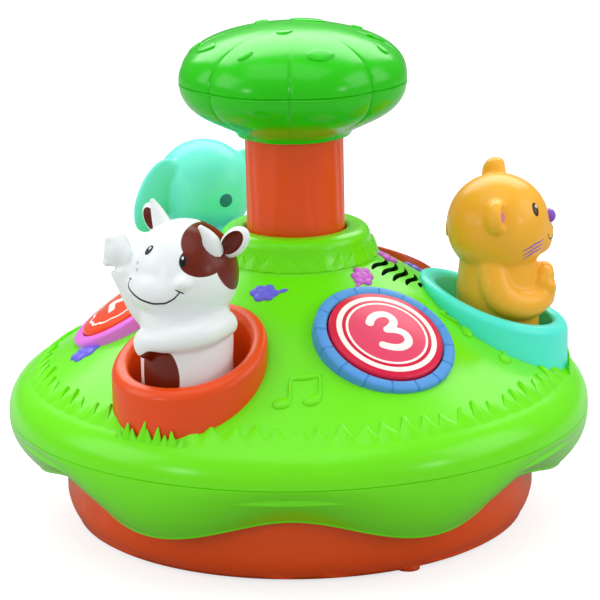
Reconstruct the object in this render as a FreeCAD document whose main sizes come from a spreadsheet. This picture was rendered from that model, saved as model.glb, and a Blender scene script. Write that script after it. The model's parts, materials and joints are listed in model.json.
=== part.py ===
"""Spinning farm toy: a domed carousel on a ball race, driven by a knob that is pressed down.

Millimetres and degrees, +Z up, origin on the floor below the middle of the base. The carousel
carries three animals in cups and three push buttons between them. Pressing the knob drives a
twisted rod through a nut, and a one-way clutch passes the nut's turn on to the carousel.
"""

import FreeCAD
import Part
import Sketcher
import math
import os
from FreeCAD import Placement, Rotation, Vector

# Driving dimensions, one cell of the sheet for each
SIZES = {
    # outer shells of the carousel
    "body_radius": 130.3,
    "seam_height": 51.4,
    "shell_wall": 2.4,
    "cone_slope": 31.5,
    "shoulder_bend": 16.8,
    "collar_hole": 22.7,
    "collar_height": 132.2,
    "collar_radius": 33.2,
    "collar_foot": 36.8,
    "collar_bend": 5.0,
    "sleeve_height": 32.0,
    "lip_height": 3.0,
    "lip_wall": 2.0,
    "hem_low": 21.5,
    "hem_high": 30.5,
    "hem_low_radius": 118.5,
    "hem_high_radius": 110.5,
    "hem_angle": 28.0,
    "ledge_drop": 4.9,
    "ledge_inner": 100.0,
    # base with its race, hub and feet
    "foot_height": 2.8,
    "foot_radius": 5.0,
    "foot_ring": 95.5,
    "foot_recess": 1.2,
    "foot_angle": 28.7,
    "base_foot_radius": 101.0,
    "base_radius": 105.3,
    "base_wall": 2.7,
    "base_plate": 3.4,
    "base_height": 33.0,
    "base_bend": 22.0,
    "race_radius": 88.0,
    "race_land": 4.4,
    "race_slot": 4.2,
    "spoke_width": 14.0,
    "spoke_height": 8.0,
    "hub_radius": 16.0,
    "hub_height": 22.0,
    "ball_radius": 3.0,
    "ball_height": 30.2,
    "ball_count": 12,
    "race_play": 0.06,
    "land_gap": 1.6,
    "cage_width": 7.6,
    "cage_height": 2.4,
    # centre post and bearing
    "spindle_radius": 8.0,
    "spindle_bore": 4.7,
    "spindle_top": 62.0,
    "spindle_floor": 3.8,
    "keyway_reach": 6.3,
    "keyway_width": 2.6,
    "keyway_bottom": 18.0,
    "run_play": 0.05,
    "bush_wall": 2.5,
    "bush_flange": 13.0,
    "bush_flange_height": 1.5,
    "clip_radius": 11.5,
    "clip_height": 1.2,
    "clip_groove": 0.8,
    "seat_gap": 0.1,
    # chassis
    "chassis_floor": 33.0,
    "chassis_wall": 2.4,
    "chassis_tub": 98.4,
    "chassis_flange": 108.4,
    "hub_tube_top": 47.0,
    "hub_tube_wall": 2.7,
    # drive
    "stroke": 30.0,
    "twist_lead": 60.0,
    "strip_width": 7.0,
    "strip_thick": 2.2,
    "strip_play": 0.35,
    "tower_radius": 16.8,
    "tower_bore": 13.5,
    "tower_foot": 23.0,
    "tower_foot_height": 2.4,
    "tower_shoulder": 78.0,
    "tower_shoulder_height": 3.0,
    "tower_top": 93.0,
    "shoulder_bore": 9.6,
    "cap_height": 2.2,
    "cap_bore": 5.2,
    "nut_radius": 9.2,
    "nut_bore": 4.6,
    "nut_plate": 1.6,
    "pawl_reach": 12.4,
    "pawl_width": 5.0,
    "pawl_count": 3,
    "notch_radius": 1.1,
    "notch_count": 12,
    "guide_height": 10.0,
    "guide_play": 0.1,
    "key_reach": 6.1,
    "pin_radius": 1.2,
    # springs
    "plunger_wire": 0.9,
    "plunger_coil": 3.9,
    "plunger_turns": 10,
    "button_wire": 0.6,
    "button_coil": 8.0,
    "button_turns": 5,
    "figure_wire": 0.6,
    "figure_coil": 3.2,
    "figure_turns": 6,
    # knob and trunk
    "trunk_radius": 21.9,
    "trunk_wall": 2.2,
    "trunk_bottom": 100.0,
    "trunk_socket": 14.0,
    "crown_lobes": 8,
    "crown_angle": 43.2,
    "crown_groove": 1.7,
    "crown_wall": 2.4,
    "crown_bottom_height": 174.0,
    "crown_seam": 198.6,
    "crown_top_height": 222.6,
    "crown_radius": 51.3,
    "socket_wall": 2.4,
    "boss_radius": 6.5,
    "boss_reach": 7.5,
    # animals and their cups
    "animal_angle": -31.5,
    "cup_inset": 42.3,
    "cup_radius": 26.0,
    "cup_wall": 2.2,
    "cup_rim": 33.3,
    "cup_bottom": 55.5,
    "rim_inboard": 113.0,
    "rim_outboard": 87.5,
    "rim_bend": 240.0,
    "rim_round_in": 2.8,
    "rim_round_out": 3.8,
    "dome_gap": 0.3,
    "figure_offset": 2.0,
    "figure_wall": 2.2,
    "pivot_height": 64.5,
    "pivot_radius": 2.0,
    "figure_floor": 61.0,
    "cow_body": 19.6,
    "small_body": 18.3,
    "head_height": 131.2,
    "head_radius": 23.0,
    "arm_height": 104.0,
    "screw_height": 129.5,
    "screw_seat": 11.6,
    # push buttons
    "button_angle": 30.5,
    "button_inset": 57.3,
    "button_radius": 25.4,
    "button_play": 0.5,
    "button_edge": 3.7,
    "button_crown": 5.4,
    "button_skirt": 6.0,
    "button_wall": 1.8,
    "button_travel": 2.0,
    "bezel_radius": 31.3,
    "bezel_rise": 2.4,
    "housing_depth": 13.0,
    "housing_wall": 2.1,
    "contact_radius": 5.0,
    # electrics and underside
    "speaker_ring": 45.0,
    "speaker_angle": 62.5,
    "speaker_radius": 13.0,
    "speaker_depth": 7.0,
    "speaker_drop": 1.5,
    "slot_count": 5,
    "slot_width": 2.2,
    "slot_length": 15.0,
    "slot_pitch": 4.6,
    "box_inner": 27.0,
    "box_length": 49.0,
    "box_width": 60.0,
    "box_height": 18.5,
    "box_wall": 2.0,
    "cell_radius": 7.1,
    "cell_length": 50.0,
    "cell_pitch": 14.8,
    "door_thick": 2.2,
    "door_play": 0.4,
    "board_ring": 55.0,
    "board_length": 44.0,
    "board_width": 52.0,
    "board_thick": 1.6,
    "board_height": 44.0,
    "switch_ring": 60.0,
    "switch_length": 9.0,
    "switch_width": 5.0,
    "switch_travel": 8.0,
    # screws
    "screw_radius": 1.5,
    "screw_head": 3.0,
    "screw_head_height": 2.2,
    "boss_ring": 103.6,
    "boss_wall": 2.4,
    "boss_angle": -0.5,
}

doc = FreeCAD.newDocument("spinner")
sheet = doc.addObject("Spreadsheet::Sheet", "Sizes")


class Dim:
    """A size: its number, and the sheet formula that gives it."""

    def __init__(self, value, text):
        self.value = value
        self.text = text

    def __add__(self, other):
        return joined(self, other, "+", self.value + number(other))

    def __radd__(self, other):
        return joined(other, self, "+", number(other) + self.value)

    def __sub__(self, other):
        return joined(self, other, "-", self.value - number(other))

    def __rsub__(self, other):
        return joined(other, self, "-", number(other) - self.value)

    def __mul__(self, other):
        return joined(self, other, "*", self.value * number(other))

    def __rmul__(self, other):
        return joined(other, self, "*", number(other) * self.value)

    def __truediv__(self, other):
        return joined(self, other, "/", self.value / number(other))

    def __neg__(self):
        return Dim(-self.value, "(0 - %s)" % self.text)


def number(thing):
    return thing.value if isinstance(thing, Dim) else float(thing)


def formula(thing):
    return thing.text if isinstance(thing, Dim) else repr(float(thing))


def joined(left, right, sign, value):
    return Dim(value, "(%s %s %s)" % (formula(left), sign, formula(right)))


def sine(angle):
    return Dim(math.sin(math.radians(number(angle))), "sin(%s * 1deg)" % formula(angle))


def cosine(angle):
    return Dim(math.cos(math.radians(number(angle))), "cos(%s * 1deg)" % formula(angle))


def root(thing):
    return Dim(math.sqrt(number(thing)), "sqrt(%s)" % formula(thing))


class Cells:
    """The sheet's cells by name."""


def fill_sheet():
    cells = Cells()
    for row, (name, value) in enumerate(SIZES.items(), start=1):
        sheet.set("A%d" % row, name)
        sheet.set("B%d" % row, str(value))
        sheet.setAlias("B%d" % row, name)
        setattr(cells, name, Dim(float(value), "Sizes." + name))
    doc.recompute()
    return cells


s = fill_sheet()

# The photograph's angles run from the front edge; the model's run from +X
FRONT = -90.0
THIRDS = (0.0, 120.0, 240.0)
SIXTHS = (0.0, 60.0, 120.0, 180.0, 240.0, 300.0)
ANIMAL_ANGLES = [s.animal_angle + FRONT + turn for turn in THIRDS]
BUTTON_ANGLES = [s.button_angle + FRONT + turn for turn in (120.0, 240.0, 0.0)]
FOOT_ANGLES = [s.foot_angle + FRONT + turn for turn in THIRDS]
BOSS_ANGLES = [s.boss_angle + FRONT + turn for turn in SIXTHS]

pieces = {}


def keep(label, piece):
    """Name a finished sub-part."""
    piece.Label = label
    pieces[label] = piece
    return piece


def bind(thing, **sizes):
    for path, size in sizes.items():
        if isinstance(size, Dim):
            setattr(thing, path, size.value)
            thing.setExpression(path, size.text)
        else:
            setattr(thing, path, size)
    return thing


def put(thing, x=0.0, y=0.0, z=0.0, turn=None):
    """Place a shape, its position bound to the sheet."""
    spot = Vector(number(x), number(y), number(z))
    thing.Placement = Placement(spot, turn or Rotation())
    for path, size in (("x", x), ("y", y), ("z", z)):
        if isinstance(size, Dim):
            thing.setExpression("Placement.Base." + path, size.text)
    return thing


def about_z(angle):
    return Rotation(Vector(0, 0, 1), number(angle))


def about_y(angle):
    return Rotation(Vector(0, 1, 0), number(angle))


def about_x(angle):
    return Rotation(Vector(1, 0, 0), number(angle))


def on_ring(thing, angle, radius, z, turn=None):
    """Place a shape at a polar spot, turned to face outwards."""
    turned = about_z(angle).multiply(turn or Rotation())
    return put(thing, radius * cosine(angle), radius * sine(angle), z, turned)


def cylinder(name, radius, height):
    return bind(doc.addObject("Part::Cylinder", name), Radius=radius, Height=height)


def box(name, length, width, height):
    """A box centred in X and Y by its placement, so its corner is at the origin."""
    return bind(doc.addObject("Part::Box", name), Length=length, Width=width, Height=height)


def centred_box(name, length, width, height, x=0.0, y=0.0, z=0.0, turn=None):
    """A box whose middle in X and Y is at the given spot, before it is turned about Z."""
    block = box(name, length, width, height)
    spin = number(turn) if turn is not None else 0.0
    across = cosine(spin)
    along = sine(spin)
    left = x - length * across * 0.5 + width * along * 0.5
    back = y - length * along * 0.5 - width * across * 0.5
    return put(block, left, back, z, about_z(spin))


def ellipsoid(name, depth, width, rise, x, y, z):
    ball = doc.addObject("Part::Ellipsoid", name)
    bind(ball, Radius1=rise, Radius2=depth, Radius3=width)
    return put(ball, x, y, z)


def fuse(name, shapes):
    joint = doc.addObject("Part::MultiFuse", name)
    joint.Shapes = shapes
    return joint


def cut(name, base, *tools):
    tool = tools[0] if len(tools) == 1 else fuse(name + "_tools", list(tools))
    result = doc.addObject("Part::Cut", name)
    result.Base = base
    result.Tool = tool
    return result


def common(name, first, second):
    result = doc.addObject("Part::MultiCommon", name)
    result.Shapes = [first, second]
    return result


def gathered(name, shapes):
    """Several separate solids as one node."""
    group = doc.addObject("Part::Compound", name)
    group.Links = shapes
    return group


def arc_between(start, end, radius, turn):
    """An arc with its centre on the left or right of the way from start to end."""
    way = end - start
    middle = (start + end) * 0.5
    side = Vector(-way.y, way.x, 0).normalize() * (1 if turn == "left" else -1)
    rise = math.sqrt(max(radius * radius - way.Length ** 2 / 4, 0.0))
    centre = middle + side * rise
    first = math.atan2(start.y - centre.y, start.x - centre.x)
    last = math.atan2(end.y - centre.y, end.x - centre.x)
    circle = Part.Circle(centre, Vector(0, 0, 1), radius)
    if turn == "left":
        return Part.ArcOfCircle(circle, first, last), (1, 2)
    return Part.ArcOfCircle(circle, last, first), (2, 1)


def draw(body, role, points):
    """Sketch a closed outline; a point may add the radius and turn of the arc that leaves it."""
    sketch = body.newObject("Sketcher::SketchObject", body.Name + "_outline")
    plane = [part for part in body.Origin.OriginFeatures if part.Role == role][0]
    sketch.AttachmentSupport = [(plane, "")]
    sketch.MapMode = "FlatFace"
    corners = [Vector(number(point[0]), number(point[1]), 0) for point in points]
    count = len(points)
    shapes = []
    ends = []
    for index, point in enumerate(points):
        here = corners[index]
        there = corners[(index + 1) % count]
        if len(point) == 2:
            shapes.append(Part.LineSegment(here, there))
            ends.append((1, 2))
        else:
            shape, order = arc_between(here, there, number(point[2]), point[3])
            shapes.append(shape)
            ends.append(order)
    sketch.addGeometry(shapes, False)
    rules = []
    bound = []
    for index, point in enumerate(points):
        following = (index + 1) % count
        rules.append(Sketcher.Constraint("Coincident", index, ends[index][1], following, ends[following][0]))
        for kind, size, axis in (("DistanceX", point[0], -2), ("DistanceY", point[1], -1)):
            if number(size) == 0:
                rules.append(Sketcher.Constraint("PointOnObject", index, ends[index][0], axis))
                continue
            rules.append(Sketcher.Constraint(kind, -1, 1, index, ends[index][0], number(size)))
            bound.append((len(rules) - 1, size))
        if len(point) == 4:
            rules.append(Sketcher.Constraint("Radius", index, number(point[2])))
            bound.append((len(rules) - 1, point[2]))
    sketch.addConstraint(rules)
    for index, size in bound:
        if isinstance(size, Dim):
            sketch.setExpression("Constraints[%d]" % index, size.text)
    return sketch


def turned(name, points, angle=360):
    """A piece turned about Z from an outline of (radius, height) points."""
    body = doc.addObject("PartDesign::Body", name)
    sketch = draw(body, "XZ_Plane", points)
    revolve = body.newObject("PartDesign::Revolution", name + "_turn")
    revolve.Profile = sketch
    revolve.ReferenceAxis = (sketch, ["V_Axis"])
    revolve.Angle = angle
    return body


def padded_side(name, points, width):
    """A piece extruded both ways along Y from an outline of (x, z) points."""
    body = doc.addObject("PartDesign::Body", name)
    sketch = draw(body, "XZ_Plane", points)
    pad = body.newObject("PartDesign::Pad", name + "_pad")
    pad.Profile = sketch
    pad.SideType = "Symmetric"
    bind(pad, Length=width)
    return body


def shaped(name, shape):
    """A piece whose shape comes from a formula."""
    feature = doc.addObject("Part::Feature", name)
    feature.Shape = shape
    return feature


def coil(name, radius, wire, bottom, top, turns):
    """A coil spring between two heights, lofted through eight-sided sections of its wire."""
    reach = number(radius)
    thick = number(wire)
    low = number(bottom) + thick
    length = number(top) - number(bottom) - thick * 2
    count = turns * 12
    slope = length / turns / (2 * math.pi * reach)
    sections = []
    for step in range(count + 1):
        angle = step * math.pi / 6
        outward = Vector(math.cos(angle), math.sin(angle), 0)
        across = Vector(math.sin(angle) * slope, -math.cos(angle) * slope, 1).normalize()
        middle = outward * reach + Vector(0, 0, low + length * step / count)
        corners = []
        for side in range(8):
            turn = (side + 0.5) * math.pi / 4
            corners.append(middle + outward * (thick * math.cos(turn)) + across * (thick * math.sin(turn)))
        sections.append(Part.makePolygon(corners + [corners[0]]))
    return shaped(name, Part.makeLoft(sections, True, True))


def ring_copies(name, make, angles, radius, z):
    """Copies of one shape at several angles, as a list."""
    copies = []
    for index, angle in enumerate(angles):
        copies.append(on_ring(make("%s_%d" % (name, index + 1)), angle, radius, z))
    return copies


# Heights and radii that several pieces share
base_floor = s.foot_height - s.foot_recess
slope_tan = sine(s.cone_slope) / cosine(s.cone_slope)
shoulder_centre = s.body_radius - s.shoulder_bend
shoulder_edge = shoulder_centre + s.shoulder_bend * sine(s.cone_slope)
shoulder_height = s.seam_height + s.shoulder_bend * cosine(s.cone_slope)
collar_foot_height = shoulder_height + (shoulder_edge - s.collar_foot) * slope_tan
ledge_top = s.seam_height - s.ledge_drop
cup_ring = s.body_radius - s.cup_inset
figure_ring = cup_ring + s.figure_offset
button_ring = s.body_radius - s.button_inset
flange_bottom = ledge_top + s.seat_gap
flange_top = flange_bottom + s.chassis_wall


def dome_height(radius):
    """Height of the dome's cone at a radius."""
    return shoulder_height + (shoulder_edge - radius) * slope_tan


def dome_body(name, offset):
    """The space under the dome's outer face, grown by an offset along its normal."""
    out = s.body_radius + offset
    bend = s.shoulder_bend + offset
    edge = shoulder_edge + offset * sine(s.cone_slope)
    edge_height = shoulder_height + offset * cosine(s.cone_slope)
    foot = s.collar_foot + offset * sine(s.cone_slope)
    foot_height = collar_foot_height + offset * cosine(s.cone_slope)
    low = s.seam_height - s.shell_wall * 6
    return turned(name, [
        (Dim(0.0, "0"), low), (out, low), (out, s.seam_height, bend, "left"),
        (edge, edge_height), (foot, foot_height), (Dim(0.0, "0"), foot_height),
    ])


def make_dome():
    """The dome with its collar, cup holes, button holes, speaker slots and screw bosses."""
    wall = s.shell_wall
    crest = s.collar_height - wall
    sleeve = s.collar_hole + wall
    bend = s.collar_bend
    inner_foot = s.collar_foot - wall * sine(s.cone_slope) - wall * 0.4
    inner_foot_height = dome_height(inner_foot) - wall / cosine(s.cone_slope)
    shell = turned("dome_wall", [
        (s.collar_hole, s.collar_height - s.sleeve_height), (s.collar_hole, s.collar_height - wall * 0.8),
        (s.collar_hole + wall * 0.8, s.collar_height), (s.collar_radius - bend, s.collar_height, bend, "right"),
        (s.collar_radius, s.collar_height - bend), (s.collar_foot, collar_foot_height),
        (shoulder_edge, shoulder_height, s.shoulder_bend, "right"), (s.body_radius, s.seam_height),
        (s.body_radius - wall, s.seam_height, s.shoulder_bend - wall, "left"),
        (shoulder_edge - wall * sine(s.cone_slope), shoulder_height - wall * cosine(s.cone_slope)),
        (inner_foot, inner_foot_height), (s.collar_radius - wall, s.collar_height - bend),
        (s.collar_radius - bend, crest), (sleeve, crest), (sleeve, s.collar_height - s.sleeve_height),
    ])
    trim = dome_body("boss_trim", -wall * 0.5)
    post_height = dome_height(s.boss_ring) - flange_top
    posts = ring_copies("boss_post", lambda name: cylinder(name, s.screw_radius + s.boss_wall, post_height),
                        BOSS_ANGLES, s.boss_ring, flange_top + s.seat_gap)
    bosses = common("dome_bosses", fuse("boss_posts", posts), trim)
    tools = []
    for index, angle in enumerate(ANIMAL_ANGLES):
        well = cylinder("cup_hole_%d" % (index + 1), s.cup_radius + s.cup_wall + s.dome_gap, s.collar_height)
        tools.append(on_ring(well, angle, cup_ring, s.cup_bottom))
    for index, angle in enumerate(BUTTON_ANGLES):
        well = cylinder("button_hole_%d" % (index + 1), housing_radius() + s.dome_gap, s.housing_depth)
        tools.append(tilted(well, angle, -s.housing_depth * 0.5))
    for index in range(SIZES["slot_count"]):
        aside = s.slot_pitch * (index - (SIZES["slot_count"] - 1) / 2)
        slot = box("speaker_slot_%d" % (index + 1), s.slot_length, s.slot_width, s.shell_wall * 4)
        tilt = about_y(s.cone_slope)
        put(slot, -s.slot_length * 0.5, aside - s.slot_width * 0.5, -s.shell_wall * 2)
        tools.append(slot)
        frame = Placement(Vector(number(s.speaker_ring), 0, number(dome_height(s.speaker_ring))), tilt)
        slot.Placement = Placement(Vector(), about_z(s.speaker_angle + FRONT)) * frame * slot.Placement
        clear_bindings(slot)
    drills = ring_copies("boss_drill", lambda name: cylinder(name, s.screw_radius, s.boss_wall * 4),
                         BOSS_ANGLES, s.boss_ring, flange_top)
    return keep("dome_shell", cut("dome_cut", fuse("dome_solid", [shell, bosses]), *(tools + drills)))


def clear_bindings(thing):
    """Drop a shape's position formulas when code has set its whole placement."""
    for path in ("x", "y", "z"):
        thing.setExpression("Placement.Base." + path, None)


def housing_radius():
    return s.button_radius + s.button_play + s.housing_wall


def tilted(thing, angle, height):
    """Place a shape on a button's axis, at a height above the dome's face."""
    reach = button_ring + height * sine(s.cone_slope)
    rise = dome_height(button_ring) + height * cosine(s.cone_slope)
    return on_ring(thing, angle, reach, rise, about_y(s.cone_slope))


def wave(angle):
    """1 at the hem's low points and -1 between them."""
    return math.cos(math.radians(6 * (angle - SIZES["hem_angle"] - FRONT)))


def skirt_point(angle, drop, inset):
    """A point on the skirt, from the seam (drop 0) to the hem (drop 1)."""
    swing = wave(angle)
    low = (number(s.hem_low) + number(s.hem_high)) / 2
    hem = low - swing * (number(s.hem_high) - number(s.hem_low)) / 2
    middle = (number(s.hem_low_radius) + number(s.hem_high_radius)) / 2
    radius = middle + swing * (number(s.hem_low_radius) - number(s.hem_high_radius)) / 2
    bulge = 1 - drop ** (1.9 + 0.5 * swing)
    reach = radius + (number(s.body_radius) - radius) * bulge - inset
    height = number(s.seam_height) - drop * (number(s.seam_height) - hem)
    around = math.radians(angle)
    return Vector(reach * math.cos(around), reach * math.sin(around), height)


def skirt_ring(drop, inset):
    """A closed curve round the skirt."""
    curve = Part.BSplineCurve()
    curve.interpolate(Points=[skirt_point(step * 7.5, drop, inset) for step in range(48)], PeriodicFlag=True)
    return Part.Wire([curve.toShape()])


def make_lower_shell():
    """The skirt with its six-lobed hem, an inner ledge and a lip that locates the dome."""
    drops = (0.0, 0.2, 0.4, 0.6, 0.8, 1.0)
    wall = number(s.shell_wall)
    outer = [skirt_ring(drop, 0.0) for drop in drops]
    inner = [skirt_ring(drop, wall) for drop in drops]
    faces = list(Part.makeLoft(outer, False, False).Faces)
    faces += Part.makeLoft(inner, False, False).Faces
    for level in (0, -1):
        faces += Part.makeRuledSurface(outer[level], inner[level]).Faces
    skin = Part.makeShell(faces)
    skin.sewShape()
    solid = Part.makeSolid(skin)
    if solid.Volume < 0:
        solid.reverse()
    skirt = shaped("skirt", solid)
    inner_face = s.body_radius - s.shell_wall
    lip_out = inner_face - s.dome_gap * 2
    ledge = turned("shell_ledge", [
        (s.ledge_inner, ledge_top), (lip_out - s.lip_wall, ledge_top),
        (lip_out - s.lip_wall, s.seam_height + s.lip_height), (lip_out, s.seam_height + s.lip_height),
        (lip_out, s.seam_height - s.lip_height * 0.5), (inner_face + s.shell_wall * 0.2, ledge_top),
        (inner_face + s.shell_wall * 0.2, ledge_top - s.chassis_wall), (s.ledge_inner, ledge_top - s.chassis_wall),
    ])
    holes = ring_copies("ledge_hole", lambda name: cylinder(name, s.screw_radius + s.dome_gap, s.chassis_wall * 3),
                        BOSS_ANGLES, s.boss_ring, ledge_top - s.chassis_wall * 2)
    return keep("lower_shell", cut("lower_cut", fuse("lower_solid", [skirt, ledge]), *holes))


def groove_half(gap):
    """Half the width of a ball groove where it meets its land."""
    radius = s.ball_radius + s.race_play
    return root(radius * radius - gap * gap)


def make_base():
    """The flared ring with its lower race, three spokes and the hub."""
    wall = s.base_wall
    floor = base_floor + s.base_plate
    land = s.ball_height - s.land_gap
    half = groove_half(s.land_gap)
    race_in = s.race_radius - s.race_land
    race_out = s.race_radius + s.race_land
    groove = s.ball_radius + s.race_play
    knee = base_floor + 12.4
    ring = turned("base_wall_ring", [
        (race_in, base_floor), (s.base_foot_radius - 1.2, base_floor), (s.base_foot_radius, base_floor + 0.8),
        (s.base_foot_radius, base_floor + 1.6, s.base_bend, "left"), (s.base_radius, knee),
        (s.base_radius, s.base_height), (s.base_radius - wall, s.base_height),
        (s.base_radius - wall, knee), (s.base_foot_radius - wall, floor), (race_out, floor),
        (race_out, land), (s.race_radius + half, land, groove, "right"), (s.race_radius - half, land),
        (race_in, land),
    ])
    slot = cut("race_slot_ring", cylinder("race_slot_out", s.race_radius + s.race_slot * 0.5, land - floor),
               cylinder("race_slot_in", s.race_radius - s.race_slot * 0.5, land - floor))
    put(slot, 0.0, 0.0, base_floor - s.race_land * 0.5)
    hub = put(cylinder("hub", s.hub_radius, s.hub_height - base_floor), z=base_floor)
    spokes = []
    for index, angle in enumerate(FOOT_ANGLES):
        spoke = box("spoke_%d" % (index + 1), race_in + s.race_land * 0.4, s.spoke_width, s.spoke_height)
        half_width = s.spoke_width * 0.5
        put(spoke, half_width * sine(angle), -half_width * cosine(angle), base_floor, about_z(angle))
        spokes.append(spoke)
    tools = ring_copies("foot_seat", lambda name: cylinder(name, s.foot_radius, s.foot_recess),
                        FOOT_ANGLES, s.foot_ring, base_floor)
    tools.append(put(cylinder("spindle_seat", s.spindle_radius, s.hub_height), z=base_floor + s.spoke_height * 0.5))
    tools.append(put(cylinder("spindle_screw_hole", s.screw_radius + s.dome_gap, s.hub_height), z=0.0))
    tools.append(put(cylinder("spindle_screw_seat", s.screw_head + s.dome_gap, s.screw_head_height), z=base_floor))
    body = fuse("base_solid", [ring, hub] + spokes)
    keep("base_ring", cut("base_cut", body, slot, *tools))
    feet = ring_copies("foot", lambda name: cylinder(name, s.foot_radius, s.foot_height),
                       FOOT_ANGLES, s.foot_ring, 0.0)
    keep("base_feet", gathered("feet", feet))


def screw(name, length):
    """A screw with its point up: head at the bottom, shank above it."""
    head = cylinder(name + "_head", s.screw_head, s.screw_head_height)
    shank = put(cylinder(name + "_shank", s.screw_radius, length), z=s.screw_head_height * 0.5)
    cross = box(name + "_cross", s.screw_head * 1.2, s.screw_radius * 0.5, s.screw_head_height * 0.4)
    put(cross, -s.screw_head * 0.6, -s.screw_radius * 0.25, 0.0)
    other = box(name + "_cross_two", s.screw_radius * 0.5, s.screw_head * 1.2, s.screw_head_height * 0.4)
    put(other, -s.screw_radius * 0.25, -s.screw_head * 0.6, 0.0)
    return cut(name, fuse(name + "_body", [head, shank]), cross, other)


def make_spindle():
    """The fixed post with inner keyways, its screw, and the clip that holds the carousel down."""
    bottom = base_floor + s.spoke_height * 0.5
    post = put(cylinder("post", s.spindle_radius, s.spindle_top - bottom), z=bottom)
    bore = put(cylinder("post_bore", s.spindle_bore, s.spindle_top), z=bottom + s.spindle_floor)
    keyway = centred_box("keyway", s.keyway_reach * 2, s.keyway_width, s.spindle_top, z=s.keyway_bottom)
    pilot = put(cylinder("post_pilot", s.screw_radius, s.spindle_floor * 2), z=bottom - s.spindle_floor)
    clip_base = s.hub_tube_top + s.bush_flange_height + s.seat_gap * 5
    groove = cut("clip_groove_ring", cylinder("clip_groove_out", s.spindle_radius * 2, s.clip_height + s.seat_gap * 2),
                 cylinder("clip_groove_in", s.spindle_radius - s.clip_groove, s.clip_height + s.seat_gap * 2))
    put(groove, z=clip_base - s.seat_gap)
    keep("spindle", cut("spindle_cut", post, bore, keyway, pilot, groove))
    ring = put(cylinder("clip_ring", s.clip_radius, s.clip_height), z=clip_base)
    inside = put(cylinder("clip_inside", s.spindle_radius - s.clip_groove + s.run_play, s.clip_height), z=clip_base)
    mouth = put(box("clip_mouth", s.clip_radius, s.clip_groove * 6, s.clip_height), 0.0, -s.clip_groove * 3, clip_base)
    keep("retaining_ring", cut("clip_cut", ring, inside, mouth))
    keep("spindle_screw", put(screw("post_screw", s.spoke_height * 0.5 + s.spindle_floor * 0.5), z=base_floor))


def make_race():
    """The balls and the cage that spaces them."""
    turns = [step * 360.0 / SIZES["ball_count"] for step in range(SIZES["ball_count"])]
    balls = []
    for index, angle in enumerate(turns):
        ball = bind(doc.addObject("Part::Sphere", "ball_%d" % (index + 1)), Radius=s.ball_radius)
        balls.append(on_ring(ball, angle, s.race_radius, s.ball_height))
    keep("bearing_balls", gathered("balls", balls))
    low = s.ball_height - s.cage_height * 0.5
    ring = put(cylinder("cage_out", s.race_radius + s.cage_width * 0.5, s.cage_height), z=low)
    inside = put(cylinder("cage_in", s.race_radius - s.cage_width * 0.5, s.cage_height), z=low)
    holes = ring_copies("cage_hole", lambda name: cylinder(name, s.ball_radius + s.seat_gap, s.cage_height),
                        turns, s.race_radius, low)
    keep("ball_cage", cut("cage_cut", ring, inside, *holes))


def make_chassis():
    """The inner floor: upper race, hub tube, flange and the openings in its floor."""
    wall = s.chassis_wall
    floor = s.chassis_floor
    bush = s.spindle_radius + s.run_play + s.bush_wall
    land = s.ball_height + s.land_gap
    half = groove_half(s.land_gap)
    groove = s.ball_radius + s.race_play
    rib_in = s.race_radius - s.race_land * 0.8
    rib_out = s.race_radius + s.race_land * 0.8
    dish = turned("chassis_dish", [
        (bush, floor), (rib_in, floor), (rib_in, land), (s.race_radius - half, land, groove, "right"),
        (s.race_radius + half, land), (rib_out, land), (rib_out, floor), (s.chassis_tub, floor),
        (s.chassis_tub, flange_bottom), (s.chassis_flange, flange_bottom), (s.chassis_flange, flange_top),
        (s.chassis_tub - wall, flange_top), (s.chassis_tub - wall, floor + wall),
        (bush + s.hub_tube_wall, floor + wall), (bush + s.hub_tube_wall, s.hub_tube_top), (bush, s.hub_tube_top),
    ])
    holes = ring_copies("chassis_hole", lambda name: cylinder(name, s.screw_radius + s.dome_gap, wall * 3),
                        BOSS_ANGLES, s.boss_ring, flange_bottom - wall)
    angle = ANIMAL_ANGLES[2]
    window = centred_box("battery_window", s.box_length, s.box_width, wall * 3,
                         (s.box_inner + s.box_length * 0.5) * cosine(angle),
                         (s.box_inner + s.box_length * 0.5) * sine(angle), floor - wall, angle)
    way = ANIMAL_ANGLES[0]
    slot = centred_box("switch_window", s.switch_width + s.door_play * 2, s.switch_length + s.switch_travel
                       + s.door_play * 2, wall * 3, s.switch_ring * cosine(way), s.switch_ring * sine(way),
                       floor - wall, way)
    pilots = ring_copies("tower_pilot", lambda name: cylinder(name, s.screw_radius, wall * 2),
                         [90.0, 210.0, 330.0], tower_screw_ring(), floor - wall * 0.5)
    keep("chassis", cut("chassis_cut", dish, window, slot, *(holes + pilots)))
    heads = s.screw_head_height
    screws = ring_copies("shell_screw", lambda name: screw(name, wall * 5), BOSS_ANGLES, s.boss_ring,
                         ledge_top - wall - heads)
    keep("shell_screws", gathered("shell_screw_set", screws))


def tower_screw_ring():
    return (s.tower_radius + s.tower_foot) * 0.5 + 0.4


def make_bush():
    inner = s.spindle_radius + s.run_play
    outer = inner + s.bush_wall
    low = s.chassis_floor - s.bush_flange_height
    keep("hub_bush", turned("bush", [
        (inner, low), (outer, low), (outer, s.hub_tube_top), (s.bush_flange, s.hub_tube_top),
        (s.bush_flange, s.hub_tube_top + s.bush_flange_height), (inner, s.hub_tube_top + s.bush_flange_height),
    ]))


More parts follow.
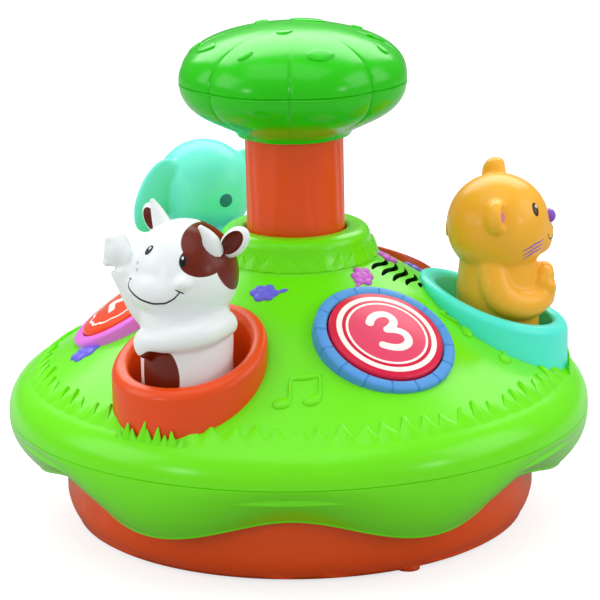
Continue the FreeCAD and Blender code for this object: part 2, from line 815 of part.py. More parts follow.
def make_tower():
    """The drive tower on the chassis, with its clutch notches, cap and screws."""
    foot = s.chassis_floor + s.chassis_wall
    shoulder_top = s.tower_shoulder + s.tower_shoulder_height
    wall = turned("tower_wall", [
        (s.tower_bore, foot), (s.tower_foot + 1.6, foot), (s.tower_foot + 1.6, foot + s.tower_foot_height),
        (s.tower_radius, foot + s.tower_foot_height), (s.tower_radius, s.tower_top), (s.tower_bore, s.tower_top),
        (s.tower_bore, shoulder_top), (s.shoulder_bore, shoulder_top), (s.shoulder_bore, s.tower_shoulder),
        (s.tower_bore, s.tower_shoulder),
    ])
    turns = [step * 360.0 / SIZES["notch_count"] for step in range(SIZES["notch_count"])]
    notches = ring_copies("notch", lambda name: cylinder(name, s.notch_radius, s.tower_top), turns,
                          s.tower_bore, shoulder_top + s.cap_height)
    holes = ring_copies("tower_hole", lambda name: cylinder(name, s.screw_radius + s.seat_gap, foot),
                        [90.0, 210.0, 330.0], tower_screw_ring(), foot)
    keep("drive_tower", cut("tower_cut", wall, *(notches + holes)))
    cap = cylinder("cap_disc", s.tower_radius, s.cap_height)
    keep("clutch_cap", put(cut("cap_cut", cap, cylinder("cap_hole", s.cap_bore, s.cap_height)),
                           z=s.tower_top + s.seat_gap))
    heads = []
    for index, angle in enumerate((90.0, 210.0, 330.0)):
        fixing = screw("tower_screw_%d" % (index + 1), s.tower_foot_height + s.chassis_wall)
        flip = about_x(180)
        heads.append(on_ring(fixing, angle, tower_screw_ring(), foot + s.tower_foot_height + s.screw_head_height,
                             flip))
    keep("tower_screws", gathered("tower_screw_set", heads))


def nut_bottom():
    return s.tower_shoulder + s.tower_shoulder_height + s.seat_gap * 2


def nut_plate_bottom():
    return nut_bottom() + s.cap_height * 2


def twist_at(height):
    """Angle of the twisted strip at a height; it is straight below and above the twist."""
    low = number(nut_plate_bottom()) - 4.0
    high = low + number(s.stroke) + 14.0
    return (min(max(height, low), high) - low) * 360.0 / number(s.twist_lead)


def make_nut():
    """The nut: a slotted plate in a turned body, with three pawls."""
    low = nut_bottom()
    top = s.tower_top - s.seat_gap * 2
    plate = nut_plate_bottom()
    body = turned("nut_body", [
        (s.nut_bore, low), (s.pawl_reach, low), (s.pawl_reach, low + s.nut_plate), (s.nut_radius, low + s.nut_plate),
        (s.nut_radius, top), (s.nut_bore, top), (s.nut_bore, plate + s.nut_plate),
        (Dim(0.0, "0"), plate + s.nut_plate), (Dim(0.0, "0"), plate), (s.nut_bore, plate),
    ])
    angles = [60.0 + step * 360.0 / SIZES["pawl_count"] for step in range(SIZES["pawl_count"])]
    pawls = []
    for index, angle in enumerate(angles):
        block = centred_box("pawl_%d" % (index + 1), s.pawl_reach - s.nut_radius + 0.6, s.pawl_width, top - low,
                            (s.pawl_reach + s.nut_radius - 0.6) * 0.5 * cosine(angle),
                            (s.pawl_reach + s.nut_radius - 0.6) * 0.5 * sine(angle), low, angle)
        pawls.append(block)
    limit = put(cylinder("pawl_limit", s.pawl_reach, top - low), z=low)
    arms = common("pawls", fuse("pawl_blocks", pawls), limit)
    spin = twist_at(number(plate + s.nut_plate * 0.5))
    slot = centred_box("nut_slot", s.strip_width + s.strip_play * 2, s.strip_thick + s.strip_play * 3, s.cap_height * 4,
                       z=low, turn=spin)
    keep("drive_nut", cut("nut_cut", fuse("nut_solid", [body, arms]), slot))


def strip_section(height):
    half_width = number(s.strip_width) / 2
    half_thick = number(s.strip_thick) / 2
    angle = math.radians(twist_at(height))
    corners = []
    for x, y in ((half_width, half_thick), (-half_width, half_thick), (-half_width, -half_thick),
                 (half_width, -half_thick)):
        corners.append(Vector(x * math.cos(angle) - y * math.sin(angle),
                              x * math.sin(angle) + y * math.cos(angle), height))
    return Part.makePolygon(corners + [corners[0]])


def guide_bottom():
    return s.keyway_bottom + s.stroke + 2.0


def crown_floor():
    return s.crown_bottom_height + s.trunk_socket


def make_rod():
    """The twisted strip, the keyed guide at its foot, and their pins."""
    foot = guide_bottom() + s.guide_height * 0.4
    head = crown_floor() + s.boss_reach - 1.5
    low = number(nut_plate_bottom()) - 4.0
    high = low + number(s.stroke) + 14.0
    steps = 48
    heights = [number(foot)] + [low + (high - low) * step / steps for step in range(steps + 1)] + [number(head)]
    strip = shaped("strip", Part.makeLoft([strip_section(height) for height in heights], True, True))
    low_pin_height = guide_bottom() + s.guide_height * 0.7
    top_pin_height = crown_floor() - s.boss_reach * 0.4
    low_hole = put(cylinder("low_pin_hole", s.pin_radius, s.strip_thick * 3), 0.0, s.strip_thick * 1.5,
                   low_pin_height, about_x(90))
    top_turn = about_z(twist_at(number(top_pin_height))).multiply(about_x(90))
    reach = s.strip_thick * 1.5
    spin = twist_at(number(top_pin_height))
    top_hole = put(cylinder("top_pin_hole", s.pin_radius, s.strip_thick * 3), -reach * sine(spin),
                   reach * cosine(spin), top_pin_height, top_turn)
    keep("drive_rod", cut("rod_cut", strip, low_hole, top_hole))
    round_part = put(cylinder("guide_round", s.spindle_bore - s.guide_play, s.guide_height), z=guide_bottom())
    keys = centred_box("guide_keys", s.key_reach * 2, s.keyway_width - s.guide_play * 2, s.guide_height,
                       z=guide_bottom())
    slot = centred_box("guide_slot", s.strip_width, s.strip_thick, s.guide_height, z=foot)
    guide_hole = put(cylinder("guide_hole", s.pin_radius, s.spindle_bore * 2), 0.0, s.spindle_bore,
                     low_pin_height, about_x(90))
    keep("rod_guide", cut("guide_cut", fuse("guide_solid", [round_part, keys]), slot, guide_hole))
    guide_reach = s.spindle_bore - s.guide_play * 4
    keep("guide_pin", put(cylinder("guide_pin_round", s.pin_radius, guide_reach * 2), 0.0, guide_reach,
                          low_pin_height, about_x(90)))
    pin_reach = s.boss_radius - s.guide_play
    keep("rod_pin", put(cylinder("rod_pin_round", s.pin_radius, pin_reach * 2), -pin_reach * sine(spin),
                        pin_reach * cosine(spin), top_pin_height, top_turn))
    keep("plunger_spring", coil("plunger_coil", s.plunger_coil, s.plunger_wire * 0.5,
                                base_floor + s.spoke_height * 0.5 + s.spindle_floor + s.seat_gap,
                                guide_bottom() - s.seat_gap, SIZES["plunger_turns"]))


def lobed_section(radius, height, groove):
    """A scalloped closed outline: one arc for each lobe."""
    count = SIZES["crown_lobes"]
    edges = []
    for lobe in range(count):
        points = []
        for part, reach in ((0.0, radius - groove), (0.5, radius), (1.0, radius - groove)):
            angle = math.radians(SIZES["crown_angle"] + FRONT + (lobe + part) * 360.0 / count)
            points.append(Vector(reach * math.cos(angle), reach * math.sin(angle), height))
        edges.append(Part.Arc(*points).toShape())
    return Part.Wire(edges)


def crown_profile():
    """Radius and height of the knob's outline, from the lip to the top, as real sizes."""
    seam = number(s.crown_seam)
    low = number(s.crown_bottom_height)
    top = number(s.crown_top_height)
    full = number(s.crown_radius)
    lip = number(s.trunk_radius) + 3.4
    swell = ((0.0, 0.0), (0.1, 0.08), (0.25, 0.36), (0.4, 0.63), (0.57, 0.83), (0.79, 0.96), (1.0, 1.0))
    under = [(lip + (full - lip) * reach, low + (seam - low) * part) for part, reach in swell]
    over = []
    for part in (0.0, 0.22, 0.45, 0.66, 0.83, 0.94, 0.995):
        over.append((full * math.sqrt(1 - part ** 2.3), seam + (top - seam) * part))
    return under, over


def lobed_solid(outline, inset, shift=0.0):
    sections = []
    full = number(s.crown_radius)
    for radius, height in outline:
        groove = number(s.crown_groove) * min(1.0, (radius / full) ** 2)
        sections.append(lobed_section(max(radius - inset, 0.8), height + shift, groove))
    return Part.makeLoft(sections, True, False)


def make_crown():
    """The knob: two lobed halves that meet at a seam, with the trunk's socket in the lower one."""
    under, over = crown_profile()
    wall = number(s.crown_wall)
    seam = number(s.crown_seam)
    scale = (number(s.crown_top_height) - wall - seam) / (number(s.crown_top_height) - seam)
    top_inner = [(radius, seam + (height - seam) * scale) for radius, height in over]
    top_inner = [(over[0][0], seam - wall)] + top_inner
    upper = shaped("crown_dome", lobed_solid(over, 0.0).cut(lobed_solid(top_inner, wall)))
    reach = s.crown_radius - s.crown_wall - s.crown_groove
    tongue = turned("crown_tongue", [
        (reach - s.lip_wall - 0.6, s.crown_seam - s.lip_height), (reach - 0.4, s.crown_seam - s.lip_height),
        (reach - 0.4, s.crown_seam), (reach + 0.8, s.crown_seam + 0.6), (reach + 0.8, s.crown_seam + s.lip_height),
        (reach - s.lip_wall - 0.6, s.crown_seam + s.lip_height),
    ])
    keep("crown_top", fuse("crown_upper", [upper, tongue]))
    bottom_inner = [(radius, height) for radius, height in under if height > under[0][1] + wall * 1.1]
    bottom_inner = bottom_inner + [(under[-1][0], seam + wall)]
    bowl = shaped("crown_bowl", lobed_solid(under, 0.0).cut(lobed_solid(bottom_inner, wall)))
    floor = crown_floor()
    socket = turned("crown_socket", [
        (s.trunk_radius + s.run_play, s.crown_bottom_height + s.crown_wall * 0.6),
        (s.trunk_radius + s.run_play + s.socket_wall, s.crown_bottom_height + s.crown_wall * 0.6),
        (s.trunk_radius + s.run_play + s.socket_wall, floor + s.socket_wall),
        (Dim(0.0, "0"), floor + s.socket_wall), (Dim(0.0, "0"), floor - s.boss_reach),
        (s.boss_radius, floor - s.boss_reach), (s.boss_radius, floor), (s.trunk_radius + s.run_play, floor),
    ])
    mouth = put(cylinder("trunk_mouth", s.trunk_radius + s.run_play, s.trunk_socket),
                z=s.crown_bottom_height - s.crown_wall)
    spin = twist_at(number(floor))
    slot = centred_box("boss_slot", s.strip_width, s.strip_thick, s.boss_reach * 2 - 1.5,
                       z=floor - s.boss_reach, turn=spin)
    pin_height = floor - s.boss_reach * 0.4
    hole = put(cylinder("boss_pin_hole", s.pin_radius, s.boss_radius * 2), -s.boss_radius * sine(spin),
               s.boss_radius * cosine(spin), pin_height, about_z(spin).multiply(about_x(90)))
    collar = put(cylinder("boss_collar", s.boss_radius, s.boss_reach), z=floor)
    keep("crown_bottom", cut("crown_lower", fuse("crown_lower_solid", [cut("bowl_open", bowl, mouth), socket, collar]),
                             slot, hole))
    tube = cylinder("trunk_out", s.trunk_radius, floor - s.trunk_bottom - s.seat_gap)
    inside = cylinder("trunk_in", s.trunk_radius - s.trunk_wall, floor)
    keep("trunk", put(cut("trunk_cut", tube, inside), z=s.trunk_bottom))


def make_cups():
    """The three cups that hold the animals, each with a thick rolled rim."""
    names = ("cow", "cat", "elephant")
    reach = cup_ring + s.cup_rim + s.cup_wall
    inboard = cup_ring - s.cup_rim - s.cup_wall
    outline = [
        (inboard, s.cup_bottom), (reach, s.cup_bottom), (reach, s.rim_outboard, s.rim_bend, "right"),
        (inboard, s.rim_inboard),
    ]
    pins = []
    springs = []
    for name, angle in zip(names, ANIMAL_ANGLES):
        block = put(cylinder(name + "_block", s.cup_rim, s.collar_height), cup_ring, 0.0, s.cup_bottom)
        profile = padded_side(name + "_rim_profile", outline, s.cup_rim * 3)
        core = put(cylinder(name + "_core", s.cup_radius + s.cup_wall, s.collar_height), cup_ring, 0.0, s.cup_bottom)
        around = cut(name + "_around", dome_body(name + "_dome_space", s.run_play), core)
        solid = cut(name + "_cup_solid", common(name + "_cup_block", block, profile), around)
        well = put(cylinder(name + "_well", s.cup_radius, s.collar_height), cup_ring, 0.0, s.cup_bottom + s.cup_wall)
        bore = put(cylinder(name + "_pin_bore", s.pivot_radius, s.cup_rim * 2), figure_ring, s.cup_rim,
                   s.pivot_height, about_x(90))
        hollow = cut(name + "_hollow", solid, well, bore)
        doc.recompute()
        fillet = doc.addObject("Part::Fillet", name + "_rim")
        fillet.Base = hollow
        fillet.Edges = rim_edges(hollow.Shape)
        fillet.Placement = Placement(Vector(), about_z(angle))
        keep(name + "_pocket", fillet)
        half = s.cup_radius + s.cup_wall * 0.6
        pin = cylinder(name + "_pin", s.pivot_radius - s.run_play * 0.4, half * 2)
        side = on_ring(pin, angle, figure_ring, s.pivot_height, about_x(90))
        put(side, figure_ring * cosine(angle) - half * sine(angle), figure_ring * sine(angle) + half * cosine(angle),
            s.pivot_height, about_z(angle).multiply(about_x(90)))
        pins.append(pin)
        start = s.cow_body + s.seat_gap * 6
        spring = coil(name + "_spring", s.figure_coil, s.figure_wire * 0.5, start, s.cup_radius - s.seat_gap * 8,
                      SIZES["figure_turns"])
        spring.Placement = Placement(Vector(), about_z(angle)) * Placement(
            Vector(number(figure_ring), 0, number(s.pivot_height)), about_x(-90))
        springs.append(spring)
    keep("figure_pins", gathered("pin_set", pins))
    keep("figure_springs", gathered("figure_spring_set", springs))


def rim_edges(shape):
    """The inner and outer edges of the rim's top, with their fillet radii."""
    chosen = []
    inner = number(s.cup_radius)
    outer = number(s.cup_rim)
    for index, edge in enumerate(shape.Edges, start=1):
        span = edge.BoundBox
        if span.ZMin < number(s.rim_outboard) - 8.0 or span.ZMin < number(s.pivot_height) + 10.0:
            continue
        middle = edge.valueAt((edge.FirstParameter + edge.LastParameter) / 2)
        reach = math.hypot(middle.x - number(cup_ring), middle.y)
        share = (middle.x - number(cup_ring - s.cup_rim)) / number(s.cup_rim * 2)
        top = number(s.rim_inboard) + share * (number(s.rim_outboard) - number(s.rim_inboard))
        if middle.z < top - 7.0:
            continue
        if abs(reach - inner) < 0.05:
            chosen.append((index, number(s.rim_round_in), number(s.rim_round_in)))
        elif abs(reach - outer) < 0.05:
            chosen.append((index, number(s.rim_round_out), number(s.rim_round_out)))
    return chosen


def make_buttons():
    """The three push buttons: housing with its bezel, cap, return spring and contact."""
    inner = s.button_radius + s.button_play
    sleeve = housing_radius()
    zero = Dim(0.0, "0")
    crown_rise = s.button_crown - s.button_edge
    crown_reach = s.button_radius - 1.2
    crown_bend = (crown_reach * crown_reach + crown_rise * crown_rise) / (crown_rise * 2)
    contacts = []
    for index, angle in enumerate(BUTTON_ANGLES, start=1):
        tag = "button_%d" % index
        flange = tilted(turned(tag + "_flange", [
            (sleeve - 0.2, -s.bezel_rise * 3), (s.bezel_radius, -s.bezel_rise * 3),
            (s.bezel_radius, s.bezel_rise - 1.4, 1.4, "left"), (s.bezel_radius - 1.4, s.bezel_rise),
            (sleeve - 0.2, s.bezel_rise),
        ]), angle, 0.0)
        ring = cut(tag + "_bezel", flange, dome_body(tag + "_dome_space", s.run_play))
        cup = tilted(turned(tag + "_cup", [
            (zero, -s.housing_depth), (sleeve, -s.housing_depth), (sleeve, s.bezel_rise), (inner, s.bezel_rise),
            (inner, -s.housing_depth + s.housing_wall), (zero, -s.housing_depth + s.housing_wall),
        ]), angle, 0.0)
        keep("button_housing_%d" % index, fuse(tag + "_housing", [ring, cup]))
        lid = s.button_edge - s.button_wall
        cap = turned(tag + "_cap", [
            (zero, s.button_crown - s.button_wall - 0.6), (s.button_radius - s.button_wall, lid - 0.6),
            (s.button_radius - s.button_wall, -s.button_skirt), (s.button_radius, -s.button_skirt),
            (s.button_radius, s.button_edge - 1.2, 1.2, "left"), (crown_reach, s.button_edge, crown_bend, "left"),
            (zero, s.button_crown),
        ])
        stem_low = -s.housing_depth + s.housing_wall + s.contact_radius * 0.5 + s.button_travel + s.seat_gap * 2
        stem = tilted(cylinder(tag + "_stem", s.contact_radius * 0.7, s.button_edge - stem_low), angle, stem_low)
        keep("button_cap_%d" % index, fuse(tag + "_whole", [tilted(cap, angle, 0.0), stem]))
        floor = -s.housing_depth + s.housing_wall
        spring = coil(tag + "_coil", s.button_coil, s.button_wire * 0.5, floor + s.seat_gap,
                      s.button_edge - s.button_wall - 0.6 - s.seat_gap, SIZES["button_turns"])
        keep("button_spring_%d" % index, tilted(spring, angle, 0.0))
        dome = turned(tag + "_contact", [
            (zero, floor), (s.contact_radius, floor), (s.contact_radius * 0.6, floor + s.contact_radius * 0.5),
            (zero, floor + s.contact_radius * 0.5),
        ])
        contacts.append(tilted(dome, angle, 0.0))
    keep("button_contacts", gathered("contact_set", contacts))


def figure_outline(body, inset):
    """Half outline of an animal's torso and round head, shrunk by an inset."""
    reach = s.head_radius - inset
    side = body - inset
    zero = Dim(0.0, "0")
    neck = s.head_height - root(reach * reach - side * side)
    return [(zero, s.figure_floor + inset), (side, s.figure_floor + inset), (side, neck, reach, "left"),
            (zero, s.head_height + reach)]


def bump(name, depth, width, rise, x, y, z):
    """A rounded lump on an animal, from the middle of its ring."""
    return ellipsoid(name, Dim(depth, repr(depth)), Dim(width, repr(width)), Dim(rise, repr(rise)),
                     figure_ring + x, Dim(y, repr(y)), s.head_height + z)


def figure_lumps(name):
    """Lumps on the front half and on the back half of one animal, which faces +X."""
    if name == "cow":
        front = [bump("cow_muzzle", 12.4, 18.5, 11.5, 13.4, 0.0, -8.5),
                 bump("cow_hoof", 6.0, 6.0, 8.0, 11.0, -26.0, 10.0),
                 bump("cow_foreleg", 5.0, 5.5, 15.0, 9.0, -22.5, -5.0)]
        back = []
        for side in (-1.0, 1.0):
            front.append(bump("cow_horn_%d" % (side + 2), 3.3, 3.3, 8.0, 3.6, side * 11.0, 20.5))
            back.append(bump("cow_ear_%d" % (side + 2), 4.4, 9.0, 6.0, -4.8, side * 23.0, 13.0))
    elif name == "cat":
        front = [bump("cat_muzzle", 8.0, 12.0, 9.0, 16.0, 0.0, -5.0),
                 bump("cat_paws", 6.0, 10.0, 8.0, 18.0, 0.0, -28.0)]
        back = []
        for side in (-1.0, 1.0):
            front.append(bump("cat_ear_%d" % (side + 2), 4.4, 7.5, 9.0, 4.8, side * 14.5, 17.0))
    else:
        front = [bump("elephant_nose_root", 8.0, 7.5, 10.0, 18.0, 0.0, -4.0),
                 bump("elephant_nose", 6.0, 5.5, 14.0, 22.0, 0.0, -17.0)]
        back = []
        for side in (-1.0, 1.0):
            back.append(bump("elephant_ear_%d" % (side + 2), 4.6, 12.0, 16.5, -5.0, side * 26.5, 2.0))
    return front, back


def make_figures():
    """Three hollow animals, each a front and a back half held by one screw under a plug."""
    ring = figure_ring
    for name, angle, body in zip(("cow", "cat", "elephant"), ANIMAL_ANGLES, (s.cow_body, s.small_body, s.small_body)):
        turn = Placement(Vector(), about_z(angle))
        seat = ring - s.screw_seat
        head = seat + s.screw_head_height
        for lumps, way, half in zip(figure_lumps(name), (-90, 90), ("front", "back")):
            tag = name + "_" + half
            mass = put(turned(tag + "_mass", figure_outline(body, Dim(0.0, "0")), 180), ring, 0.0, 0.0, about_z(way))
            arms = ellipsoid(tag + "_arms", body + 1.6, body + 1.8, Dim(7.8, "7.8"), ring + 0.7, 0.0, s.arm_height)
            middle = put(box(tag + "_space", s.head_radius * 3, s.head_radius * 4, s.head_height * 2),
                         ring - (0.0 if half == "front" else s.head_radius * 3), s.head_radius * -2.0, 0.0)
            void = put(turned(tag + "_void", figure_outline(body, s.figure_wall)), ring)
            post = put(cylinder(tag + "_post", s.screw_head + 1.2, s.head_radius * 1.9),
                       ring - s.head_radius * 0.95, 0.0, s.screw_height, about_y(90))
            pivot = put(cylinder(tag + "_pivot", s.pivot_radius + s.run_play, s.cup_rim * 2), ring, s.cup_rim,
                        s.pivot_height, about_x(90))
            pilot = put(cylinder(tag + "_pilot", s.screw_radius, s.screw_seat * 2), seat, 0.0, s.screw_height,
                        about_y(90))
            tools = [cut(tag + "_space_inside", void, post), pivot, pilot]
            if half == "back":
                tools.append(put(cylinder(tag + "_access", s.screw_head + 0.1, s.head_radius), head - s.head_radius,
                                 0.0, s.screw_height, about_y(90)))
            whole = fuse(tag + "_whole", [mass, common(tag + "_arm_half", arms, middle)] + list(lumps))
            piece = cut(tag + "_hollow", whole, *tools)
            piece.Placement = turn
            keep(tag, piece)
        fixing = screw(name + "_fixing", s.screw_seat * 1.6)
        keep(name + "_screw", on_ring(fixing, angle, seat, s.screw_height, about_y(90)))
        plug = cylinder(name + "_plug_disc", s.screw_head + 0.05, s.head_radius - 1.6 - s.screw_seat - 0.2)
        keep(name + "_plug", on_ring(plug, angle, ring - s.head_radius + 1.6, s.screw_height, about_y(90)))


def make_electrics():
    """Speaker, board, battery box with its cells and contacts, door and switch."""
    angle = s.speaker_angle + FRONT
    drop = s.shell_wall + s.speaker_drop
    cone = turned("speaker_body", [
        (Dim(0.0, "0"), -s.speaker_depth), (s.speaker_radius * 0.55, -s.speaker_depth),
        (s.speaker_radius * 0.55, -s.speaker_depth * 0.5), (s.speaker_radius, -s.speaker_depth * 0.25),
        (s.speaker_radius, -drop * 0.0 - 0.01), (s.speaker_radius * 0.85, -0.01),
        (s.speaker_radius * 0.4, -s.speaker_depth * 0.3), (Dim(0.0, "0"), -s.speaker_depth * 0.2),
    ])
    reach = s.speaker_ring - drop * sine(s.cone_slope)
    rise = dome_height(s.speaker_ring) - drop * cosine(s.cone_slope)
    keep("speaker", on_ring(cone, angle, reach, rise, about_y(s.cone_slope)))
    floor = s.chassis_floor
    side = ANIMAL_ANGLES[2]
    middle = s.box_inner + s.box_length * 0.5
    case_low = floor + s.chassis_wall + s.seat_gap
    outer = centred_box("box_out", s.box_length + s.box_wall * 2, s.box_width + s.box_wall * 2, s.box_height,
                        middle * cosine(side), middle * sine(side), case_low, side)
    inner = centred_box("box_in", s.box_length, s.box_width, s.box_height - s.box_wall,
                        middle * cosine(side), middle * sine(side), case_low, side)
    keep("battery_box", cut("box_cut", outer, inner))
    cells = []
    ends = []
    for row in (-1.0, 0.0, 1.0):
        out = middle + s.cell_pitch * row
        height = floor + s.door_thick + s.cell_radius + 1.2
        half = s.cell_length * 0.5
        cell = cylinder("cell_%d" % (row + 2), s.cell_radius, s.cell_length - 1.2)
        tip = put(cylinder("cell_tip_%d" % (row + 2), s.cell_radius * 0.38, s.cell_length), 0.0, 0.0, 0.0)
        whole = fuse("cell_whole_%d" % (row + 2), [cell, tip])
        put(whole, out * cosine(side) + half * sine(side), out * sine(side) - half * cosine(side), height,
            about_z(side).multiply(about_x(-90)))
        cells.append(whole)
        for end in (-1.0, 1.0):
            aside = (s.box_width * 0.5 - 0.5) * end
            plate = centred_box("plate_%d_%d" % (row + 2, end + 2), s.cell_radius * 1.5, Dim(0.8, "0.8"),
                                s.cell_radius * 1.6, out * cosine(side) - aside * sine(side),
                                out * sine(side) + aside * cosine(side), height - s.cell_radius * 0.8, side)
            ends.append(plate)
    keep("batteries", gathered("cell_set", cells))
    keep("battery_contacts", gathered("plate_set", ends))
    play = s.door_play
    door = centred_box("door_plate", s.box_length - play * 2, s.box_width - play * 2, s.door_thick,
                       middle * cosine(side), middle * sine(side), floor, side)
    spot = middle + s.box_length * 0.5 - 4.0
    door_hole = on_ring(cylinder("door_hole", s.screw_radius + s.seat_gap, s.door_thick * 2), side, spot, floor)
    door_seat = on_ring(cylinder("door_seat", s.screw_head + s.seat_gap, s.screw_head_height * 0.5), side, spot, floor)
    keep("battery_door", cut("door_cut", door, door_hole, door_seat))
    keep("door_screw", on_ring(screw("door_fixing", s.door_thick + 1.5), side, spot, floor - s.screw_head_height * 0.5))
    way = ANIMAL_ANGLES[1]
    board = centred_box("board_plate", s.board_length, s.board_width, s.board_thick, s.board_ring * cosine(way),
                        s.board_ring * sine(way), s.board_height, way)
    chip = centred_box("board_chip", s.board_length * 0.3, s.board_length * 0.3, s.board_thick,
                       s.board_ring * cosine(way), s.board_ring * sine(way), s.board_height + s.board_thick, way)
    posts = []
    for out in (-0.42, 0.42):
        for aside in (-0.42, 0.42):
            x = s.board_ring + s.board_length * out
            y = s.board_width * aside
            post = cylinder("board_post_%d_%d" % (out * 10, aside * 10), s.screw_radius * 1.6,
                            s.board_height - floor - s.chassis_wall - s.seat_gap)
            put(post, x * cosine(way) - y * sine(way), x * sine(way) + y * cosine(way),
                floor + s.chassis_wall + s.seat_gap)
            posts.append(post)
    keep("sound_board", fuse("board_whole", [board, chip] + posts))
    knob_way = ANIMAL_ANGLES[0]
    start = -s.switch_travel * 0.5
    x = s.switch_ring
    knob = centred_box("switch_knob", s.switch_width, s.switch_length, s.chassis_wall + 1.2,
                       x * cosine(knob_way) - start * sine(knob_way), x * sine(knob_way) + start * cosine(knob_way),
                       floor - 1.0, knob_way)
    slider = centred_box("switch_slider", s.switch_width * 2, s.switch_length * 1.3, s.chassis_wall,
                         x * cosine(knob_way) - start * sine(knob_way), x * sine(knob_way) + start * cosine(knob_way),
                         floor + s.chassis_wall + s.seat_gap, knob_way)
    keep("power_switch", fuse("switch_whole", [knob, slider]))


def check_document():
    """Stop if any object failed or any sub-part is not a sound solid."""
    doc.recompute()
    for thing in doc.Objects:
        if "Invalid" in thing.State or "Error" in thing.State:
            raise RuntimeError("failed object: %s %s" % (thing.Name, thing.State))
    for label, piece in pieces.items():
        if piece.Shape.isNull() or not piece.Shape.isValid() or not piece.Shape.Solids:
            raise RuntimeError("unsound sub-part: " + label)


def export_all():
    os.makedirs("parts", exist_ok=True)
    for label, piece in pieces.items():
        piece.Shape.exportStep("parts/%s.step" % label)
        print("%-20s solids %2d volume %.0f" % (label, len(piece.Shape.Solids), piece.Shape.Volume))
    print("sub-parts:", len(pieces))


make_base()
make_spindle()
make_race()
make_dome()
make_lower_shell()
make_chassis()
make_bush()
make_tower()
make_nut()
make_rod()
make_crown()
make_cups()
make_buttons()
make_figures()
make_electrics()
check_document()
export_all()
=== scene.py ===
"""Looks of a push-down spinner toy: shells, knob, cups, buttons, animals, raised details and finishes."""

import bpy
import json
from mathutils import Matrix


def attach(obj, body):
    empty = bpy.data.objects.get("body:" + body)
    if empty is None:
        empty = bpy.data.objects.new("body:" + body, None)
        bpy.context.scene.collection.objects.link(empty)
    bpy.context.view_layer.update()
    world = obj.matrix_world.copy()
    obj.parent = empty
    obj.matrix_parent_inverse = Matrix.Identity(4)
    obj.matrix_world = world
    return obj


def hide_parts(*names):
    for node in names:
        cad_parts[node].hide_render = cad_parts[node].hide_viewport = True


bl_info = {
    "name": "Spinner Toy Looks",
    "version": (1, 0, 0),
    "blender": (4, 5, 0),
    "location": "3D View > Sidebar > Spinner Toy",
    "description": "Models the shells, animals, buttons and finishes of a push-down spinner toy",
    "category": "Object",
}

import json
import math
from contextlib import contextmanager

import bpy
from bpy.props import FloatProperty, FloatVectorProperty, IntProperty, PointerProperty
from bpy.types import Operator, Panel, PropertyGroup
from mathutils import Matrix, Vector
from mathutils.bvhtree import BVHTree

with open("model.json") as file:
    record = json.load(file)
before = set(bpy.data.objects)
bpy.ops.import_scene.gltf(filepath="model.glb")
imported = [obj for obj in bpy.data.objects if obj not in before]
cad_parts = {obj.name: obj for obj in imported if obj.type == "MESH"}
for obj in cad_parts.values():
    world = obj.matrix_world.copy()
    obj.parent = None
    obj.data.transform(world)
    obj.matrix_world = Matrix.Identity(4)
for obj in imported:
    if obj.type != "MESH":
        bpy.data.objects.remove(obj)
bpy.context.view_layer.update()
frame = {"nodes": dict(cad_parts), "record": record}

# The script's lengths are millimetres, and this turns them into the scene's metres
MM = 0.001

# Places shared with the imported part
ANIMAL_ANGLES = {"cow": -121.5, "cat": -1.5, "elephant": 118.5}
BUTTON_ANGLES = {1: 60.5, 2: 180.5, 3: -59.5}
CUP_RING = 88.0
FIGURE_RING = 90.0
BUTTON_RING = 73.0
CONE_SLOPE = math.radians(31.5)
BODY_RADIUS = 130.3
SEAM_HEIGHT = 51.4
SHOULDER_BEND = 16.8
SHOULDER_CENTRE = BODY_RADIUS - SHOULDER_BEND
SHOULDER_EDGE = SHOULDER_CENTRE + SHOULDER_BEND * math.sin(CONE_SLOPE)
SHOULDER_HEIGHT = SEAM_HEIGHT + SHOULDER_BEND * math.cos(CONE_SLOPE)
SHELL_WALL = 2.4
COLLAR_HOLE = 22.7
COLLAR_RADIUS = 33.2
COLLAR_FOOT = 36.8
COLLAR_HEIGHT = 132.2
SLEEVE_LOW = 100.2
CUP_INNER = 26.0
CUP_HOLE = 28.5
CUP_RIM = 33.3
CUP_FLOOR = 57.7
CUP_LOW = 55.5
BUTTON_RADIUS = 25.4
BUTTON_INNER = 25.9
BUTTON_HOLE = 28.3
BEZEL_RADIUS = 31.3
BEZEL_RISE = 2.4
HOUSING_DEPTH = 13.0
CAP_EDGE = 3.7
CAP_CROWN = 5.4
CAP_SKIRT = 6.0
TRUNK_RADIUS = 21.9
TRUNK_WALL = 2.2
TRUNK_LOW = 100.0
TRUNK_HIGH = 187.9
CROWN_LOW = 174.0
CROWN_SEAM = 198.6
CROWN_TOP = 222.6
CROWN_RADIUS = 51.3
CROWN_GROOVE = 1.7
CROWN_LOBES = 8
CROWN_FIRST = 43.2 - 90.0
HEM_ANGLE = 28.0 - 90.0
FIGURE_FLOOR = 61.0
HEAD_HEIGHT = 131.2
HEAD_RADIUS = 23.0
COW_BODY = 19.6
SMALL_BODY = 18.3
PLUG_HEIGHT = 129.5
SPEAKER_ANGLE = 66.0 - 90.0

# The collar's wall meets the cone at its foot, and its round starts at its head
COLLAR_WALL = (118.1, 126.9)

# Speaker slots, from the collar outwards
SLOT_HALVES = (10.0, 11.5, 12.0, 10.0, 5.5)
SLOT_FIRST = 39.6
SLOT_PITCH = 4.3
SLOT_WIDTH = 1.3
SLOT_WAVE = 1.15
SLOT_DEPTH = 4.5

# The skirt is drawn as a plain ring at a mark, then bent to its lobed hem
SKIRT_MARK = 100.0
SKIRT_WALL = 2.4
HEM_HEIGHT = 26.0
HEM_WAVE = 4.5
HEM_RADIUS = 114.5
HEM_SWELL = 4.0
HEM_ROUND = 1.2
HEM_LOBES = 6

